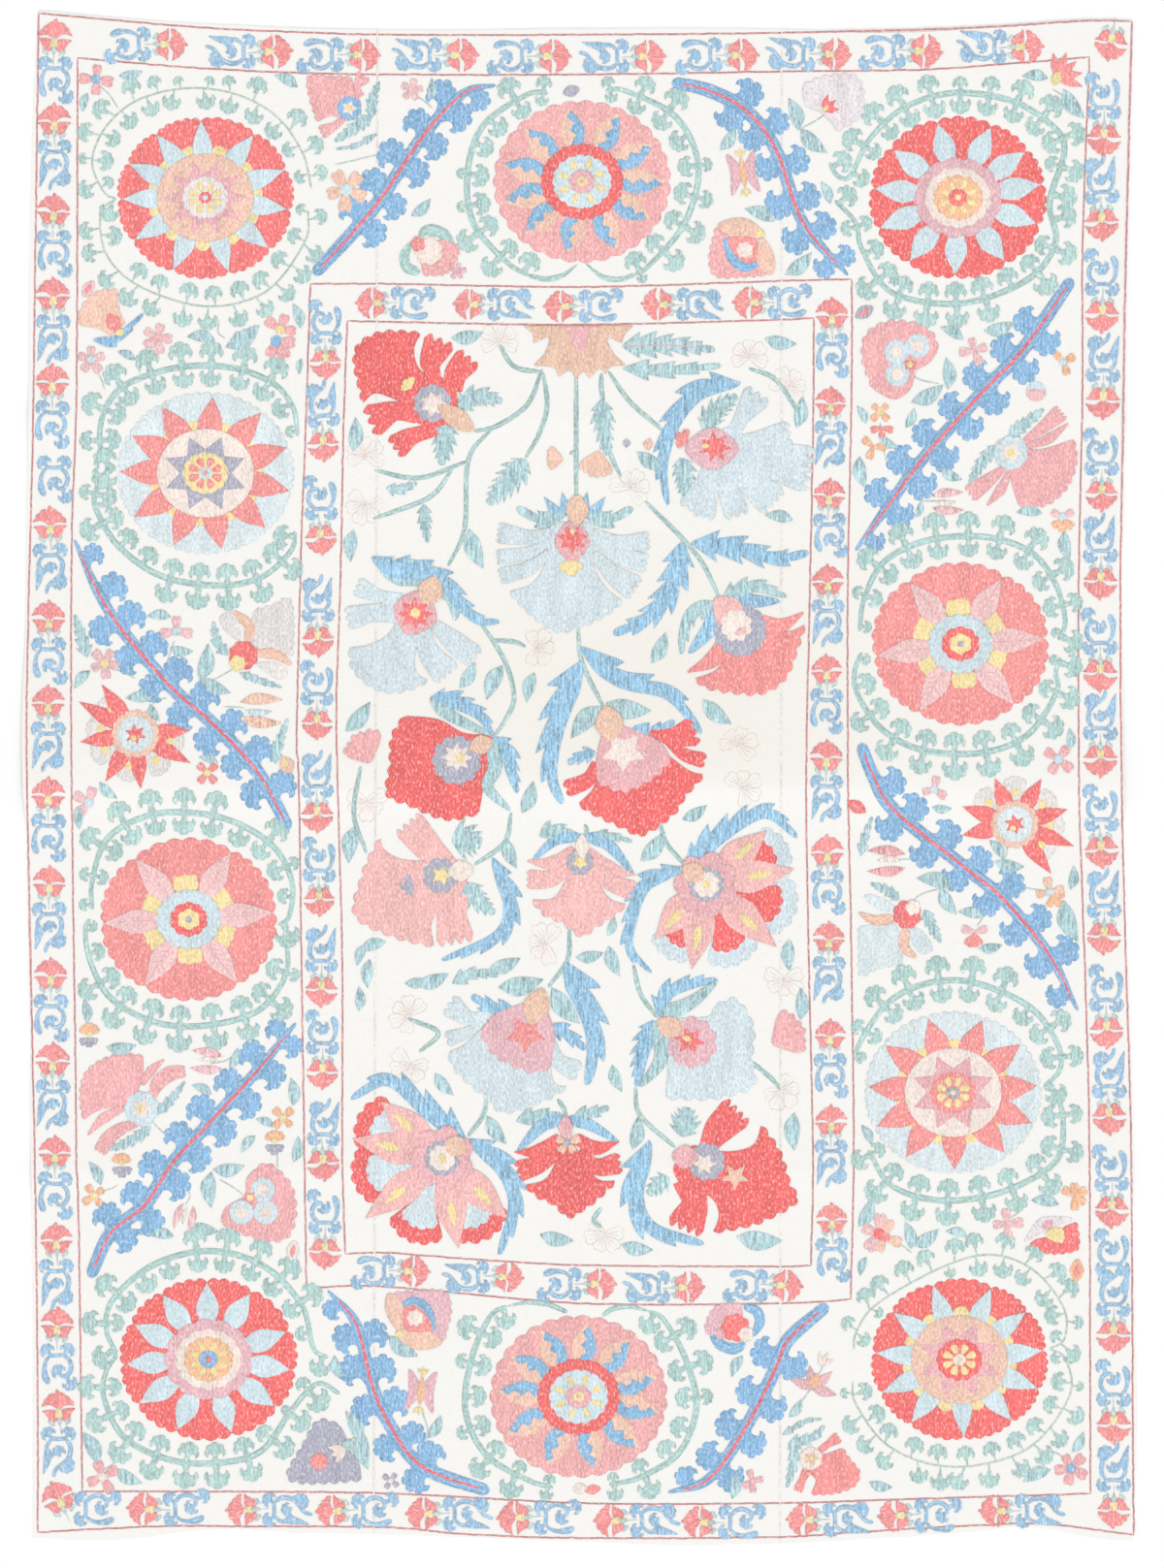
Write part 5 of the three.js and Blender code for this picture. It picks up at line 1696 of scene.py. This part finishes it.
# The deep red carnation at the bottom, under a blue roof.
crest(((584, 1153), (560, 1160), (533, 1188)), 23, 1, (0, 0))
crest(((584, 1153), (608, 1160), (638, 1178)), 20, 1, (0, 0))
ribbons(FIELD_RED, (
    (((577, 1174), (555, 1187), (531, 1188)), (12, 15, 2), 1),
    (((576, 1188), (555, 1201), (537, 1207)), (10, 18, 22), 3),
    (((594, 1174), (615, 1184), (638, 1177)), (12, 15, 2), 1),
    (((596, 1188), (615, 1203), (636, 1200)), (10, 17, 22), 3)))
flounce(((580, 1180), (564, 1214)),
        ((541, 1222), (554, 1234), (571, 1242), (586, 1255), (603, 1246), (619, 1234), (635, 1218)),
        ((614, 1214), (592, 1180)), 9, FIELD_RED)
sprig((585, 1178), 0, 5, 288, 14, PEACH, LILAC, 3)
oval((583, 1162), 0, 24, 15, MAUVE, 4)
# The deep red carnation at the lower right.
oval((716, 1206), 0, 50, 44, FIELD_RED, 1)
ribbons(FIELD_RED, (
    (((728, 1186), (740, 1166), (757, 1149)), (16, 30, 36), 4),
    (((708, 1216), (716, 1240), (708, 1262)), (30, 26, 38), 4)))
flounce(((730, 1186), (756, 1187), (777, 1180)),
        ((785, 1160), (804, 1188), (814, 1220), (821, 1239), (787, 1259), (762, 1266), (735, 1271)),
        ((741, 1253), (734, 1236), (712, 1224)), 13, FIELD_RED)
button((728, 1198), 20, 9, 2.5, LILAC, 2)
star((726, 1200), 6, 13, 7, CREAM, 3, 0)
oval((706, 1193), 100, 27, 25, MAUVE, 3)
star((758, 1213), 5, 16, 7, PEACH, 3, 20)
# The half rosette and the small buds.
fill(laid(cornered((
    ((-57, 0), (57, 0)), ((57, 0), (48, 9), (45, 18)), ((45, 18), (30, 12), (36, 28), (49, 41)),
    ((49, 41), (34, 42), (28, 50)), ((28, 50), (22, 44), (12, 54)), ((12, 54), (5, 47), (-2, 55)),
    ((-2, 55), (-9, 46), (-20, 53)), ((-20, 53), (-25, 43), (-46, 41)),
    ((-46, 41), (-34, 28), (-30, 12), (-46, 18)), ((-46, 18), (-47, 8), (-57, 0)))), (596, 336)), BULB,
     layer=2)
fill(laid(mirrored((((0, 1), (22, 1)), ((22, 1), (11, 7), (7, 20), (0, 30)))), (597, 336)), MAUVE, layer=3)
for at, turn, reach, thread in (
        ((580, 474), 275, 17, PEACH), ((617, 466), 190, 26, PEACH), ((663, 458), 95, 10, PEACH),
        ((650, 457), 270, 8, LILAC), ((381, 786), 335, 32, FLOWER_ROSE),
        ((797, 1076), 60, 34, FLOWER_ROSE)):
    sprig(at, turn, 3, 64, reach, thread, None, 2, 0.5)
gather("field_flowers")

# The cloth lies on a plain white floor in soft, nearly even light from above, seen straight down.
# One lamp at the lower side rakes over the folds so that their upper sides fall a little darker.
FLOOR_SIZE = 14.0
floor_mesh = bpy.data.meshes.new("floor")
floor_mesh.from_pydata(
    [(-FLOOR_SIZE, -FLOOR_SIZE, 0), (FLOOR_SIZE, -FLOOR_SIZE, 0), (FLOOR_SIZE, FLOOR_SIZE, 0),
     (-FLOOR_SIZE, FLOOR_SIZE, 0)], [], [(0, 1, 2, 3)])
floor = bpy.data.objects.new("floor", floor_mesh)
bpy.context.collection.objects.link(floor)
floor_paint = bpy.data.materials.new("floor_paint")
floor_paint.use_nodes = True
floor_paint.node_tree.nodes["Principled BSDF"].inputs["Base Color"].default_value = (1, 1, 1, 1)
floor_paint.node_tree.nodes["Principled BSDF"].inputs["Roughness"].default_value = 1
floor_paint.node_tree.nodes["Principled BSDF"].inputs["Specular IOR Level"].default_value = 0
floor_mesh.materials.append(floor_paint)

world = bpy.data.worlds.new("studio")
bpy.context.scene.world = world
world.use_nodes = True
world.node_tree.nodes["Background"].inputs["Color"].default_value = (1, 1, 1, 1)
world.node_tree.nodes["Background"].inputs["Strength"].default_value = 0.86
lamp = bpy.data.lights.new("raking_lamp", "SUN")
lamp.energy = 0.85
lamp.angle = 0.35
lamp_stand = bpy.data.objects.new("raking_lamp", lamp)
lamp_stand.rotation_euler = (np.radians(58), 0, np.radians(14))
bpy.context.collection.objects.link(lamp_stand)

VIEW_ACROSS, VIEW_DOWN = 1200, 1617
CAMERA_HEIGHT = 10.0
camera = bpy.data.cameras.new("camera")
camera.sensor_fit = "VERTICAL"
camera.sensor_height = 24
camera.lens = camera.sensor_height * CAMERA_HEIGHT / (VIEW_DOWN * STITCH)
camera_stand = bpy.data.objects.new("camera", camera)
camera_stand.location = (
    (VIEW_ACROSS / 2 - MIDDLE_ACROSS) * STITCH, (MIDDLE_DOWN - VIEW_DOWN / 2) * STITCH, CAMERA_HEIGHT)
bpy.context.collection.objects.link(camera_stand)
bpy.context.scene.camera = camera_stand
bpy.context.scene.view_settings.view_transform = "Standard"
